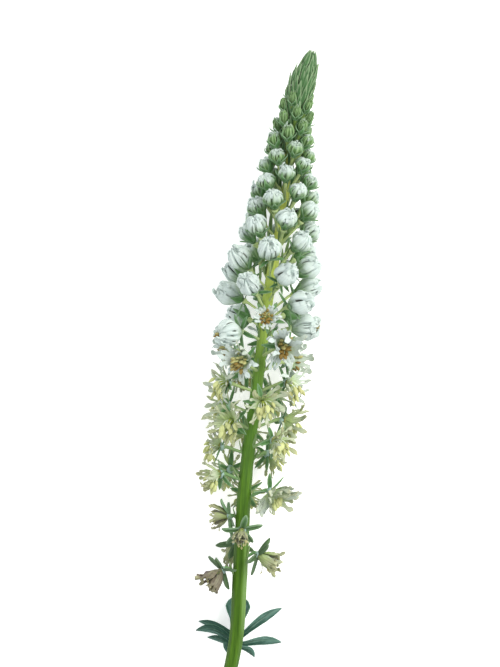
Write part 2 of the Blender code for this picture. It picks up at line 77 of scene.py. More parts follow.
bl_info = {
    "name": "White mignonette flower",
    "version": (1, 0, 0),
    "blender": (4, 5, 0),
    "location": "3D View > Sidebar > Mignonette",
    "description": "Builds the pieces of one cut mignonette spike and its stage",
    "category": "Object",
}

MM = 0.001

# The same rule as the solids follow: the stem's centre line (X, Y), its width (Y, width), where
# it ends and how high it lies.
STEM_LINE = [(-8.3, -72.4), (-5.2, -57.4), (-4.35, -44.0), (-3.1, -22.2), (-0.5, -1.0), (1.4, 14.5),
             (3.2, 26.0), (5.4, 38.5), (6.5, 49.5), (8.6, 62.0), (10.4, 68.0), (11.7, 72.4)]
STEM_WIDTHS = [(-72.4, 3.1), (-62.0, 3.05), (-46.0, 3.25), (-26.0, 3.0), (-13.0, 2.65), (8.0, 2.3),
               (24.0, 2.3), (34.0, 1.9), (48.0, 1.5), (62.0, 1.1), (68.0, 0.9)]
STEM_TOP = 68.0
AXIS_HEIGHT = 9.9

# The middle of the solids' box in the growth rule's frame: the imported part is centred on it.
BOX_MIDDLE = np.array((-0.17, -0.27, 0.0))

# The spiral of flowers, in mm and degrees: its start and steps, the flowers that have fallen,
# nudges (Y, azimuth), and how the flowers change along the spike (Y, value).
GOLDEN_ANGLE = 137.508
FIRST_Y = -47.3
FIRST_AZIMUTH = 144.2
LAST_Y = 62.2
STEPS = [(-48.6, 3.66), (-26.6, 1.82), (-9.0, 1.71), (4.2, 1.47), (17.4, 1.15), (30.6, 0.85),
         (43.8, 0.74), (52.6, 0.6), (62.5, 0.54)]
FALLEN = {0, 5, 7, 12}
NUDGES = {2: (0.6, 14.0), 4: (0.5, 24.0), 8: (0.5, 14.0), 9: (3.2, -12.0), 10: (-2.0, 4.0),
          14: (-2.2, 0.0)}
CENTRE_RADII = [(-42.0, 6.7), (-30.0, 6.7), (-24.0, 8.4), (-15.0, 9.0), (-5.0, 9.4), (8.6, 9.6),
                (17.4, 8.6), (27.3, 7.7), (38.3, 6.0), (47.1, 4.3), (54.8, 3.2), (62.2, 2.3)]
RISES = [(-42.0, -30.0), (-24.0, -8.0), (-5.0, 0.0), (12.0, 4.0), (15.0, 14.0), (21.0, 30.0),
         (27.3, 40.0), (33.0, 50.0), (38.3, 58.0), (47.1, 66.0), (54.8, 72.0), (62.2, 76.0)]
LENGTHS = [(-42.0, 6.2), (-30.0, 6.2), (-24.0, 5.4), (0.0, 5.6), (17.4, 6.3), (27.3, 6.0),
           (38.3, 4.8), (47.1, 4.0), (54.8, 3.3), (62.2, 2.6)]
HALF_WIDTHS = [(-42.0, 3.2), (-24.0, 4.2), (8.0, 4.4), (17.4, 2.8), (27.3, 2.7), (38.3, 2.3),
               (47.1, 1.95), (54.8, 1.5), (62.2, 1.1)]

# Places along the spike, in mm of Y: where each stage begins, where sepals stop standing loose
# and stalks stop swelling the stem, where bracts start to clasp and grow long, and the stretches
# over which buds turn greener and slimmer.
FIRST_GREEN_BUD = 40.0
FIRST_WHITE_BUD = 12.2
FULLY_OPEN = 3.0
FIRST_FADED = -18.0
LAST_OPEN = -26.0
LOOSE_SEPALS = 28.0
LAST_SWELLING = 30.0
CLASPING_BRACTS = 22.0
LONG_BRACTS = 42.0
WHITE_BUDS_GREEN = (13.0, 39.0)
YOUNG_BUDS_GREEN = (44.0, 62.0)
YOUNG_BUDS_SLIM = (48.0, 56.0)

# Single flowers that differ from their neighbours, by their number on the spiral: one that is
# open among the buds, two whose petals fold over the top, and one whose sepals stay in place.
# Then lean of the axis, shift in X and Y, height of a half-open mouth, dryness, size, how much
# younger, and number of petals.
EARLY_STAR = 33
CAPPED = {25, 28}
SPENT = 4
TILTS = {1: (0.0, -0.5, 0.0), 2: (0.1, 0.0, 0.0), 3: (0.0, -0.5, 0.0), 4: (0.0, -0.6, 0.0),
         6: (0.0, 0.2, 0.2), 8: (-0.1, -0.1, 0.0), 9: (0.0, -0.2, 0.0), 10: (-0.1, -0.35, 0.7),
         13: (0.0, 0.15, 0.0), 14: (0.0, 0.4, 0.0), 22: (0.0, 0.15, 0.0),
         25: (-0.40, 0.12, 0.0), 26: (0.0, 0.2, 0.1), 27: (0.0, -0.2, -0.1),
         28: (-0.25, -0.05, 0.0), 30: (-0.3, -0.35, 0.2), 31: (0.0, 0.2, 0.0)}
SHIFTS = {6: (0.4, -1.3), 9: (0.0, -0.8), 10: (0.0, -0.3), 13: (-0.4, 0.8), 14: (0.3, 1.6),
          15: (0.5, 0.5), 25: (-1.3, 0.6), 27: (0.8, -0.2), 28: (0.3, 0.3), 31: (-0.3, 0.5),
          32: (1.0, 0.0), 35: (0.7, 0.9), 44: (-0.4, -0.6), 48: (0.8, 0.9), 52: (-0.7, 0.0),
          56: (0.6, 0.0)}
MOUTHS = {30: 3.8, 31: 3.1}
DRYNESS = {1: (1.85, 2.0), 2: (0.7, 1.2), 3: (1.2, 1.6), 4: (1.25, 1.6), 6: (1.2, 1.7)}
FULLNESS = {SPENT: 0.6, 1: 1.0, 2: 0.95, 3: 0.9, 6: 0.75, 8: 0.7, 10: 1.1, 13: 0.8, 14: 0.75,
            22: 0.9, 27: 0.9}
YOUNGER = {8: -0.3, 10: 0.35}
PETAL_COUNTS = {2: 7, 10: 8, 25: 6, 28: 6}

# Added to the number of a flower or a row, so that each kind of part has its own random draws.
SEEDS = {"tip": 40, "buds": 100, "petals": 300, "bracts": 400, "stamens": 700, "sepals": 900}

# The stem's mesh, and its swelling under a stalk: reach in mm, share of its width, and how many
# swellings may add up.
STEM_SIDES = 60
STEM_STEP = 0.9
SWELLING = (1.1, 0.035, 1.5)

# Petals, stalks and buds: lengths in mm, shares of a size, and the rows and columns to a lobe in
# the mesh of a bud.
PETALS = 5
LOBES = 3 * PETALS
SEAT_GAP = 0.3
CELL_GAP = 0.3
NEIGHBOUR_REACH = 14.0
STALK_SINK = 0.25
STALK_LEAN = 0.25
STALK_RISE = 0.9
WIDEST_BUD = 2.8
BELL_SIZE = (2.65, 2.65, 6.1)
PETAL_ROOT = (0.62, SEAT_GAP + 0.15)
SEPAL_ROOT = 0.62
TAPER = 0.55
HALF_TAPER = 0.4
SLIMNESS = [(14.0, 0.88), (22.0, 0.85), (30.0, 0.88), (36.0, 0.90), (44.0, 0.94), (50.0, 1.0)]
BUD_SHORTNESS = 0.95
BUD_GRID = (22, 5)
YOUNG_BUD_GRID = (14, 3)

# The growing tip: Y of the first and last row of bracts and of its core, with the step, the Y
# where it ends, and its outline (Y, radius).
TIP_ROWS = (52.5, 70.9, 1.05)
TIP_CORE = (51.0, 72.0, 0.8)
TIP_END = 72.7
TIP_OUTLINE = [(50.0, 1.2), (54.0, 1.7), (57.5, 2.2), (60.2, 2.9), (62.8, 3.25), (65.2, 3.3),
               (67.6, 3.0), (69.8, 2.35), (71.4, 1.6), (72.6, 0.8)]

# The cup under a flower (place on its axis, girth), and how far threads bend, in degrees.
CUP = ((-0.75, 0.48), (-0.45, 0.72), (-0.15, 0.95), (0.08, 1.02), (0.22, 0.86))
BENDS = (0.0, 28.0, 55.0, 85.0, 115.0)

# Sepals that clasp a bud: its taper, and for each sepal how far up the bud it reaches, half its
# width and how far its tip stands off.
CLASPS = {
    "clasping": (0.0, ((0.50, 0.36, 0.18), (0.44, 0.33, 0.42), (0.56, 0.36, 0.06))),
    "half_closed": (HALF_TAPER, ((0.56, 0.36, 0.14), (0.50, 0.33, 0.30), (0.62, 0.36, 0.04))),
    "closed": (TAPER, ((0.72, 0.36, 0.03), (0.64, 0.33, 0.14), (0.78, 0.38, 0.0))),
}

# The leaf under the stem: its rachis, and its lobes from root to point (X, Y, Z; width; bow).
RACHIS = [(-6.5, -64.2, 9.3), (-6.1, -63.0, 8.4), (-5.5, -61.6, 7.5), (-5.0, -58.6, 5.6),
          (-4.9, -55.6, 3.6), (-4.9, -53.4, 2.4)]
LEAF_LOBES = [
    ((-5.0, -54.6, 2.8), (-4.6, -47.7, 0.7), 5.6, 0.0),
    ((-4.9, -57.4, 4.2), (4.85, -50.75, 0.45), 1.9, 0.04),
    ((-5.0, -58.7, 5.1), (4.8, -58.25, 0.6), 1.85, 0.06),
    ((-5.0, -58.9, 5.7), (-1.15, -61.35, 3.6), 1.3, 0.14),
    ((-4.9, -56.7, 4.0), (-13.4, -53.6, 0.45), 1.45, -0.05),
    ((-5.0, -58.0, 4.8), (-14.0, -55.6, 0.6), 1.9, -0.13),
    ((-5.0, -59.4, 5.8), (-11.4, -57.1, 2.2), 1.3, -0.08),
    ((-5.6, -61.6, 7.2), (-7.2, -57.0, 4.4), 1.6, 0.10),
]
LOBE_BREADTHS = [(0.0, 0.5), (0.25, 0.6), (0.45, 0.84), (0.65, 1.0), (0.82, 0.78), (0.94, 0.34),
                 (1.0, 0.03)]

# The photo shows the spike upright, so weight pulls its flowers down the stem.
DOWN = np.array((0.0, -1.0, 0.0))

# Meshes: the sharpest smooth edge in degrees, and the gap over the floor in mm.
SHARP_ANGLE = 62
FLOOR_GAP = 0.02
GREEN_STEM = (["flower_stem"], "green_stem")

# The picture's size in pixels, and the pixel that shows the growth rule's X = 0, Y = 0.
FRAME = (500, 667)
MIDDLE_PIXEL = (259.5, 379)

# How much light passes into a petal.
PETAL_FLESH = {"Subsurface Weight": 0.15, "Subsurface Scale": 0.0005,
               "Subsurface Radius": (1.0, 1.0, 0.9)}


# ---- Settings --------------------------------------------------------------------------

def colour_property(name, description, default):
    """Colour that the user may change."""
    return bpy.props.FloatVectorProperty(name=name, description=description, default=default,
                                         subtype="COLOR", size=3, min=0.0, max=1.0)


class MignonetteStemSettings(bpy.types.PropertyGroup):
    """Sizes and colours of the green parts."""

    ribs: bpy.props.IntProperty(name="Ribs", description="Ribs along the stem", default=6, min=3)
    rib_depth: bpy.props.FloatProperty(
        name="Rib depth", description="Depth of the grooves, as a share of the stem's radius",
        default=0.07, min=0.0, max=0.4, subtype="FACTOR")
    low_colour: colour_property("Low stem", "Stem near the cut end", (0.032, 0.092, 0.001))
    middle_colour: colour_property("Middle stem", "Stem among the open flowers",
                                   (0.12, 0.265, 0.04))
    high_colour: colour_property("High stem", "Stem among the buds", (0.56, 0.69, 0.14))
    sepal_colour: colour_property("Sepal", "Sepals and calyx", (0.075, 0.178, 0.055))
    bract_colour: colour_property("Bract", "Bracts of the growing tip", (0.046, 0.125, 0.037))


class MignonetteFlowerSettings(bpy.types.PropertyGroup):
    """Sizes and colours of the open and withered flowers."""

    petal_length: bpy.props.FloatProperty(
        name="Petal length", description="Length of an open petal", default=0.0054, min=0.001,
        unit="LENGTH")
    stamens: bpy.props.IntProperty(name="Stamens", description="Stamens in an open flower",
                                   default=12, min=1, max=30)
    young_colour: colour_property("Young petal", "Petals that have just opened",
                                  (0.52, 0.60, 0.57))
    old_colour: colour_property("Old petal", "Petals of the lower flowers", (0.40, 0.43, 0.25))
    dry_colour: colour_property("Dry petal", "Withered petals", (0.15, 0.11, 0.095))
    young_anther: colour_property("Young anther", "Anthers of a new flower", (0.23, 0.15, 0.03))
    ripe_anther: colour_property("Ripe anther", "Anthers of an open flower", (0.52, 0.56, 0.25))


class MignonetteBudSettings(bpy.types.PropertyGroup):
    """Sizes and colours of the buds."""

    slit_depth: bpy.props.FloatProperty(
        name="Slit depth", description="Depth of the slits, as a share of the bud's radius",
        default=0.13, min=0.0, max=0.4, subtype="FACTOR")
    white: colour_property("Bud", "Folded petals", (0.53, 0.61, 0.575))
    green: colour_property("Young bud", "Base of a bud, and young buds", (0.125, 0.235, 0.07))


class MignonetteLeafSettings(bpy.types.PropertyGroup):
    """Thickness and colours of the leaf."""

    thickness: bpy.props.FloatProperty(name="Thickness", description="Thickness of the blades",
                                       default=0.00035, min=0.0001, unit="LENGTH")
    dark: colour_property("Dark", "Shaded blade", (0.003, 0.043, 0.025))
    # The pale colour is the waxy bloom together with painted highlights and painted light on the
    # lit side of the lobes.
    pale: colour_property("Pale", "Waxy bloom on the blade", (0.072, 0.16, 0.128))


class MignonetteStageSettings(bpy.types.PropertyGroup):
    """Floor colour, and the camera's height and scale."""

    floor_colour: colour_property("Floor", "Pale floor", (0.93, 0.93, 0.93))
    camera_height: bpy.props.FloatProperty(name="Camera height", default=1.8, unit="LENGTH",
                                           description="Height of the camera over the spike")
    pixel: bpy.props.FloatProperty(name="Pixel", default=0.00022, unit="LENGTH", precision=6,
                                   description="Width of the spike that one pixel shows")


# ---- Growth rule -----------------------------------------------------------------------

def read(knots, place):
    """Value at a place on a line through (place, value) knots."""
    places, values = zip(*knots)
    return float(np.interp(place, places, values))


def ramp(value, low, high):
    """Share of the way from low to high, kept between 0 and 1."""
    return min(max((value - low) / (high - low), 0.0), 1.0)


def unit(vector):
    """The vector at length 1."""
    return vector / np.linalg.norm(vector)


def swung(first, second, angle):
    """Direction at an angle from the first direction towards the second."""
    return first * math.cos(angle) + second * math.sin(angle)


def upright(out, axis):
    """Frame with X along out and Z along the axis."""
    return np.column_stack((out, np.cross(axis, out), axis))


def axis_point(y):
    """Centre of the stem at length Y (mm), on a smooth curve through the stem line."""
    line = STEM_LINE
    index = 0
    while index < len(line) - 2 and y > line[index + 1][1]:
        index += 1
    (x0, y0), (x1, y1) = line[index], line[index + 1]
    before = line[max(index - 1, 0)]
    after = line[min(index + 2, len(line) - 1)]
    slope0 = (x1 - before[0]) / (y1 - before[1])
    slope1 = (after[0] - x0) / (after[1] - y0)
    span = y1 - y0
    t = (y - y0) / span
    x = (x0 * (2 * t ** 3 - 3 * t ** 2 + 1) + slope0 * span * (t ** 3 - 2 * t ** 2 + t)
         + x1 * (3 * t ** 2 - 2 * t ** 3) + slope1 * span * (t ** 3 - t ** 2))
    return np.array((x, y, AXIS_HEIGHT))


def axis_frame(y):
    """Directions at Y: along the stem, to its right and up."""
    along = unit(axis_point(y + 0.5) - axis_point(y - 0.5))
    up = np.array((0.0, 0.0, 1.0))
    return along, np.cross(along, up), up


class Site:
    """One flower or bud on the spiral: where it sits, how it faces, its stage and its sizes.

    Its azimuth is 0 where it points up from the stem, and 90 to the right.
    """

    def __init__(self, index, y, azimuth):
        rise = math.radians(read(RISES, y))
        self.index, self.y, self.rise = index, y, math.sin(rise)
        self.along, right, up = axis_frame(y)
        self.out = swung(up, right, math.radians(azimuth))
        self.length = read(LENGTHS, y)
        self.half_width = read(HALF_WIDTHS, y)
        self.centre = axis_point(y) + self.out * read(CENTRE_RADII, y)
        self.axis = swung(self.out, self.along, rise)
        self.seat = self.centre - self.axis * self.length / 2
        self.u = unit(np.cross(self.axis, self.along))
        self.v = np.cross(self.axis, self.u)
        self.spin = random.Random(index).uniform(0, 2 * math.pi)
        self.tilt = np.array(TILTS.get(index, (0.0, 0.0, 0.0)))
        self.seat = self.seat + np.array((*SHIFTS.get(index, (0.0, 0.0)), 0.0))
        self.walls = []
        if y > FIRST_GREEN_BUD:
            self.stage = "green bud"
        elif y > FIRST_WHITE_BUD and index != EARLY_STAR:
            self.stage = "white bud"
        elif y > LAST_OPEN:
            self.stage = "open"
        else:
            self.stage = "withered"

    @property
    def fullness(self):
        """Size of the petals: they shrink as a flower withers."""
        return FULLNESS.get(self.index, min(1.05, 0.80 + 0.25 * (self.y - LAST_OPEN) / 16))

    @property
    def youth(self):
        """1 where a flower is about to open, and 0 where it is fully open."""
        return ramp(self.y, FULLY_OPEN, FIRST_WHITE_BUD)

    @property
    def is_bell(self):
        """Whether its petals still stand together, as a dome with the anthers at its mouth."""
        return self.stage == "open" and self.youth > 0.7 and self.index != EARLY_STAR

    def around(self, step, count):
        """Angle round the axis at a step, where count steps go all the way round."""
        return self.spin + 2 * math.pi * step / count

    def draws(self, kind):
        """Random draws for its parts of one kind."""
        return random.Random(self.index + SEEDS[kind])

    def ray(self, angle, polar):
        """Direction at an angle round the axis, leaning out from it by polar degrees."""
        return swung(self.axis, swung(self.u, self.v, angle), math.radians(polar))

    def turned(self, angle, tilted=False):
        """Frame with X pointing out at that angle, and Z along the axis or the tilted axis."""
        axis = self.tilted() if tilted else self.axis
        out = self.ray(angle, 90)
        return upright(unit(out - axis * axis.dot(out)), axis)

    def tilted(self):
        """The axis that the petals keep to."""
        return unit(self.axis + self.tilt)

    def stalk_foot(self):
        """Where the stalk leaves the middle of the stem, some way below its seat."""
        apart = (self.seat - axis_point(self.seat[1])).dot(self.out)
        foot_y = self.seat[1] - apart * (STALK_LEAN + STALK_RISE * max(self.rise, 0.0))
        return axis_point(foot_y) + self.out * STALK_SINK * read(STEM_WIDTHS, foot_y)


def spun(turn, axis, degrees):
    """The frame, turned about its own axis number 0, 1 or 2."""
    angle = math.radians(degrees)
    a, b = (axis + 1) % 3, (axis + 2) % 3
    spin = np.eye(3)
    spin[a, a] = spin[b, b] = math.cos(angle)
    spin[a, b], spin[b, a] = -math.sin(angle), math.sin(angle)
    return turn @ spin


def grow_sites():
    """Every flower and bud, with the walls of its cell: halfway to each neighbour."""
    sites = []
    y = FIRST_Y
    index = 0
    while y < LAST_Y:
        if index not in FALLEN:
            shift, turn = NUDGES.get(index, (0.0, 0.0))
            sites.append(Site(index, y + shift, FIRST_AZIMUTH + GOLDEN_ANGLE * index + turn))
        y += read(STEPS, y)
        index += 1
    for site in sites:
        site.walls = [(np.array((0.0, 0.0, -1.0)), 0.0)]
        for other in sites:
            apart = other.centre - site.centre
            distance = np.linalg.norm(apart)
            if other is site or distance > NEIGHBOUR_REACH:
                continue
            normal = apart / distance
            lead = (site.half_width ** 2 - other.half_width ** 2) / (2 * distance)
            reach = normal.dot(site.centre) + distance / 2 + lead - CELL_GAP / 2
            site.walls.append((normal, reach))
    return sites


def room(walls, origin, turn, points, most, least, slack=0.0):
    """Largest size at which points, turned and set at origin, stay inside the walls."""
    reached = points @ turn.T
    size = most
    for normal, reach in walls:
        far = float((reached @ normal).max())
        if far > 1e-6:
            size = min(size, (reach + slack - normal.dot(origin)) / far)
    return max(size, least)


SITES = grow_sites()


# ---- Shapes ----------------------------------------------------------------------------

def smoothstep(low, high, value):
    """Smooth step from 0 to 1."""
    t = np.clip((value - low) / (high - low), 0.0, 1.0)
    return t * t * (3 - 2 * t)


def mark_points(mesh, name, kind, values):
    """Let each point of a mesh carry a number or vector."""
    field = "vector" if kind == "FLOAT_VECTOR" else "value"
    mesh.attributes.new(name, kind, "POINT").data.foreach_set(field, np.ravel(values))


class Shape:
    """Points (mm), faces and a number at each point for each named mark."""

    def __init__(self, points, faces, **marks):
        self.points = np.asarray(points, float)
        self.faces = [tuple(int(n) for n in face) for face in faces]
        self.marks = {key: np.broadcast_to(np.asarray(value, float), len(self.points)).copy()
                      for key, value in marks.items()}

    def __add__(self, other):
        count = len(self.points)
        keys = set(self.marks) | set(other.marks)
        marks = {key: np.concatenate((self.marks.get(key, np.zeros(count)),
                                      other.marks.get(key, np.zeros(len(other.points)))))
                 for key in keys}
        faces = self.faces + [tuple(n + count for n in face) for face in other.faces]
        return Shape(np.concatenate((self.points, other.points)), faces, **marks)

    def mesh(self, name):
        """Mesh in metres, smooth but for its rims."""
        mesh = new_mesh(name, (self.points * MM).tolist(), faces=self.faces)
        for key, values in sorted(self.marks.items()):
            mark_points(mesh, key, "FLOAT", values)
        mesh.shade_smooth()
        mesh.set_sharp_from_angle(angle=math.radians(SHARP_ANGLE))
        return mesh


def lattice(rows, columns, closed=False):
    """Quads between points that are numbered row by row."""
    faces = []
    for row in range(rows - 1):
        for column in range(columns if closed else columns - 1):
            a = row * columns + column
            b = row * columns + (column + 1) % columns
            faces.append((a, b, b + columns, a + columns))
    return faces


def barrel(rows, sides):
    """Faces of a closed form: its first point, rings of points, and its last point."""
    last = rows * sides + 1
    first = last - sides
    faces = [tuple(n + 1 for n in face) for face in lattice(rows, sides, closed=True)]
    faces += [(0, 1 + (step + 1) % sides, 1 + step) for step in range(sides)]
    return faces + [(last, first + step, first + (step + 1) % sides) for step in range(sides)]


def thicken(points, faces, thickness, **marks):
    """Closed blade around a middle sheet."""
    points = np.asarray(points, float)
    count = len(points)
    normals = np.zeros_like(points)
    for face in faces:
        corner = points[list(face)]
        normals[list(face)] += np.cross(corner[1] - corner[0], corner[-1] - corner[0])
    normals /= np.maximum(np.linalg.norm(normals, axis=1, keepdims=True), 1e-9)
    half = np.broadcast_to(np.asarray(thickness, float), count)[:, None] / 2
    both = np.concatenate((points + normals * half, points - normals * half))
    walls = [tuple(face) for face in faces]
    walls += [tuple(n + count for n in reversed(face)) for face in faces]
    edges = {(face[i], face[(i + 1) % len(face)]) for face in faces for i in range(len(face))}
    walls += [(b, a, a + count, b + count) for a, b in sorted(edges) if (b, a) not in edges]
    doubled = {key: np.tile(np.broadcast_to(value, count), 2) for key, value in marks.items()}
    return Shape(both, walls, **doubled)


def tube(path, radii, sides, flat=1.0, side=(0.0, 1.0, 0.0), **marks):
    """Closed tube along a path, with a point at each end."""
    path = np.asarray(path, float)
    points, along = [path[0]], [0.0]
    for index, (place, run, radius) in enumerate(zip(path, np.gradient(path, axis=0), radii)):
        across = unit(np.asarray(side) - run * np.dot(side, run) / run.dot(run))
        third = unit(np.cross(run, across))
        for step in range(sides):
            angle = 2 * math.pi * step / sides
            points.append(place + across * math.cos(angle) * radius
                          + third * math.sin(angle) * radius * flat)
            along.append(index / (len(path) - 1))
    return Shape(points + [path[-1]], barrel(len(path), sides), share=along + [1.0], **marks)


def bent_path(length, start, gain, power, count):
    """Path in the X-Z plane that starts at an angle from Z and bends out, with its angles."""
    shares = np.linspace(0.0, 1.0, count)
    angles = np.radians(start + gain * shares ** power)
    steps = np.diff(shares) * length
    middle = (angles[1:] + angles[:-1]) / 2
    x = np.concatenate(([0.0], np.cumsum(np.sin(middle) * steps)))
    z = np.concatenate(([0.0], np.cumsum(np.cos(middle) * steps)))
    return x, z, angles


def ribbon(path, sides, halves, thickness, columns=5, fold=0.0):
    """Blade along a path: its edges rise by the fold above its middle line."""
    path, sides = np.asarray(path, float), np.asarray(sides, float)
    halves = np.asarray(halves, float)[:, None]
    normals = np.cross(np.gradient(path, axis=0), sides)
    normals /= np.linalg.norm(normals, axis=1, keepdims=True)
    t = np.linspace(-1.0, 1.0, columns)[None, :]
    points = path[:, None] + sides[:, None] * (halves * t)[..., None]
    points = points + normals[:, None] * (fold * halves * abs(t))[..., None]
    rows = len(path)
    share = np.repeat(np.linspace(0.0, 1.0, rows), columns)
    return thicken(points.reshape(-1, 3), lattice(rows, columns), thickness, share=share,
                   across=np.tile(t[0], rows))


def blade(length, half_widths, lean, gain, root=(0.0, 0.0), rows=9, fold=0.0, thickness=0.18,
          twist=0.0):
    """Narrow blade in the X-Z plane that leans out from Z: half_widths are (share, mm) knots."""
    x, z, angles = bent_path(length, lean, gain, 1.0, rows)
    shares = np.linspace(0.0, 1.0, rows)
    turn = np.radians(twist * shares)
    path = np.column_stack((root[0] + x, 0 * x, root[1] + z))
    sides = np.column_stack((-np.cos(angles) * np.sin(turn), np.cos(turn),
                             np.sin(angles) * np.sin(turn)))
    return ribbon(path, sides, [read(half_widths, q) for q in shares], thickness, 5, fold)


def petal(length, lean, gain, width, seed, notch=0.42, fingers=3, curl=0.8, spread=30.0,
          crumple=0.0, wrap=0.22, thickness=0.13, pinch=0.36):
    """Petal like a hand: a claw that widens, and narrow fingers that part, club and curl."""
    draw = np.random.default_rng(seed)
    body_rows, finger_rows, samples, longest = 5, 7, 40, 1.15
    columns = 2 * fingers + 1
    flat, rims = [], []
    for row in range(body_rows):
        s = notch * row / (body_rows - 1)
        half = width * (0.22 + 0.78 * smoothstep(0.0, notch, s) ** 0.8)
        for column in range(columns):
            flat.append((s * length, half * (2 * column / (columns - 1) - 1), 0.0))
            rims.append((1 - column % 2) * row / (body_rows - 1))
    faces = lattice(body_rows, columns)
    first = (body_rows - 1) * columns
    for finger in range(fingers):
        place = (2 * finger + 1) / fingers - 1
        last = tuple(first + 2 * finger + step for step in range(3))
        half = width / fingers
        reach = length * (1 - notch) * (1 - 0.22 * abs(place)) * draw.uniform(0.66, 1.15)
        heading = math.radians(place * spread + draw.uniform(-9, 9))
        bend = math.radians(draw.uniform(-60, 60))
        roll = math.radians(draw.uniform(-40, 40)) * curl
        lift, hook = draw.uniform(-1, 1) * curl * 0.6, draw.uniform(-1, 1) * curl
        along, side = notch * length, place * width
        for step in range(1, finger_rows + 1):
            q = step / finger_rows
            turn = heading + bend * q
            along += math.cos(turn) * reach / finger_rows
            side += math.sin(turn) * reach / finger_rows
            breadth = half * (1 - pinch * smoothstep(0.0, 0.35, q) + 0.5 * smoothstep(0.4, 0.8, q))
            breadth *= math.sqrt(max(1 - max(q - 0.74, 0) ** 2 / 0.072, 0.05))
            height = lift * q ** 1.5 + hook * max(q - 0.45, 0.0) ** 2 * 3
            ids = tuple(len(flat) + n for n in range(3))
            rims += [1.0, 0.0, 1.0]
            for column in (-1, 0, 1):
                out = breadth * column * math.cos(roll * q)
                up = breadth * column * math.sin(roll * q)
                flat.append((along - math.sin(turn) * out, side + math.cos(turn) * out,
                             height + up - 0.12 * breadth * column ** 2))
            faces += [(last[0], last[1], ids[1], ids[0]), (last[1], last[2], ids[2], ids[1])]
            last = ids
    flat = np.array(flat)
    s, side = flat[:, 0] / length, flat[:, 1]
    x, z, angles = bent_path(length * longest, lean, gain, 1.2, samples)
    shares = np.linspace(0.0, longest, samples)
    angle = np.interp(s, shares, angles)
    normal = np.column_stack((-np.cos(angle), np.zeros_like(angle), np.sin(angle)))
    cup = wrap * side ** 2 / max(width, 0.1) * (1 - 1.4 * smoothstep(0.4, 1.0, s))
    pleat = 0.09 * np.cos(side / width * math.pi * fingers) * smoothstep(0.1, 0.5, s)
    rough = crumple * (np.sin(s * 19 + side * 4 + seed) + np.sin(side * 7.3 - s * 11)) * s
    points = np.column_stack((PETAL_ROOT[0] + np.interp(s, shares, x), side,
                              PETAL_ROOT[1] + np.interp(s, shares, z)))
    points += normal * (cup + pleat + rough + flat[:, 2])[:, None]
    return thicken(points, faces, thickness, share=s, across=side / width, rim=rims)


def stamen(length, bend, anther_length, anther_girth):
    """Thread that bends towards +X, with a plump two-lobed anther hanging from its end."""
    x, z, angles = bent_path(length, 0.0, bend, 1.3, 6)
    path = np.column_stack((x, np.zeros(6), z))
    thread = tube(path, [0.10, 0.12, 0.12, 0.11, 0.10, 0.08], 5, anther=0.0)
    end = angles[-1] + math.radians(min(12.0, bend * 0.3))
    run = np.array((math.sin(end), 0.0, math.cos(end)))
    shares = np.array((0.02, 0.12, 0.32, 0.55, 0.78, 0.92, 0.99))
    girths = anther_girth * np.sin(np.pi * shares ** 0.85) ** 0.6
    sides = 10
    sac = tube([path[-1] + run * (q - 0.22) * anther_length for q in shares], girths, sides, 0.72,
               anther=1.0)
    body = sac.points[1:-1].reshape(len(shares), sides, 3)
    middle = path[-1] + run * 0.3 * anther_length
    for groove in (slice(2, 4), slice(7, 8)):
        body[:, groove] += (middle - body[:, groove]) * 0.12
    sac.points[1:-1] = body.reshape(-1, 3)
    return thread + sac


def seed_case(height, girth, lobes=4):
    """Ovary with its blunt horns, on a fleshy disc."""
    rows = [(0.0, 0.55), (0.18, 0.85), (0.45, 1.0), (0.75, 0.9), (0.93, 0.62), (1.0, 0.3)]
    sides, foot = lobes * 4, 0.4
    points, share = [(0.0, 0.0, foot)], [0.0]
    for level, breadth in rows:
        for step in range(sides):
            angle = 2 * math.pi * step / sides
            lobe = math.cos(lobes * angle)
            reach = girth * breadth * (1 + 0.12 * lobe)
            points.append((reach * math.cos(angle), reach * math.sin(angle),
                           foot + height * (level + 0.12 * max(lobe, 0.0) * level ** 4)))
            share.append(level)
    points.append((0.0, 0.0, foot + height * 0.9))
    case = Shape(points, barrel(len(rows), sides), share=share + [1.0], anther=2.0)
    levels, girths = (0.25, 0.4, 0.6, 0.75), (0.75, 0.95, 0.9, 0.55)
    disc = tube([(0, 0, level) for level in levels], girths, 12, side=(1, 0, 0), anther=3.0)
    return case + disc


def bud_wall(s, taper=0.0):
    """Radius and height of a bud at radius 1 and height 1, a share of the way over it."""
    turn = np.pi * np.asarray(s, float)
    height = (1 - np.cos(turn)) / 2
    girth = np.sin(turn) ** 0.85 * (0.60 + 0.47 * smoothstep(0.0, 0.62, height))
    girth = girth * (1 - taper * (1 - smoothstep(0.0, 0.72, height)))
    return girth, height - 0.05 * smoothstep(0.88, 1.0, s)


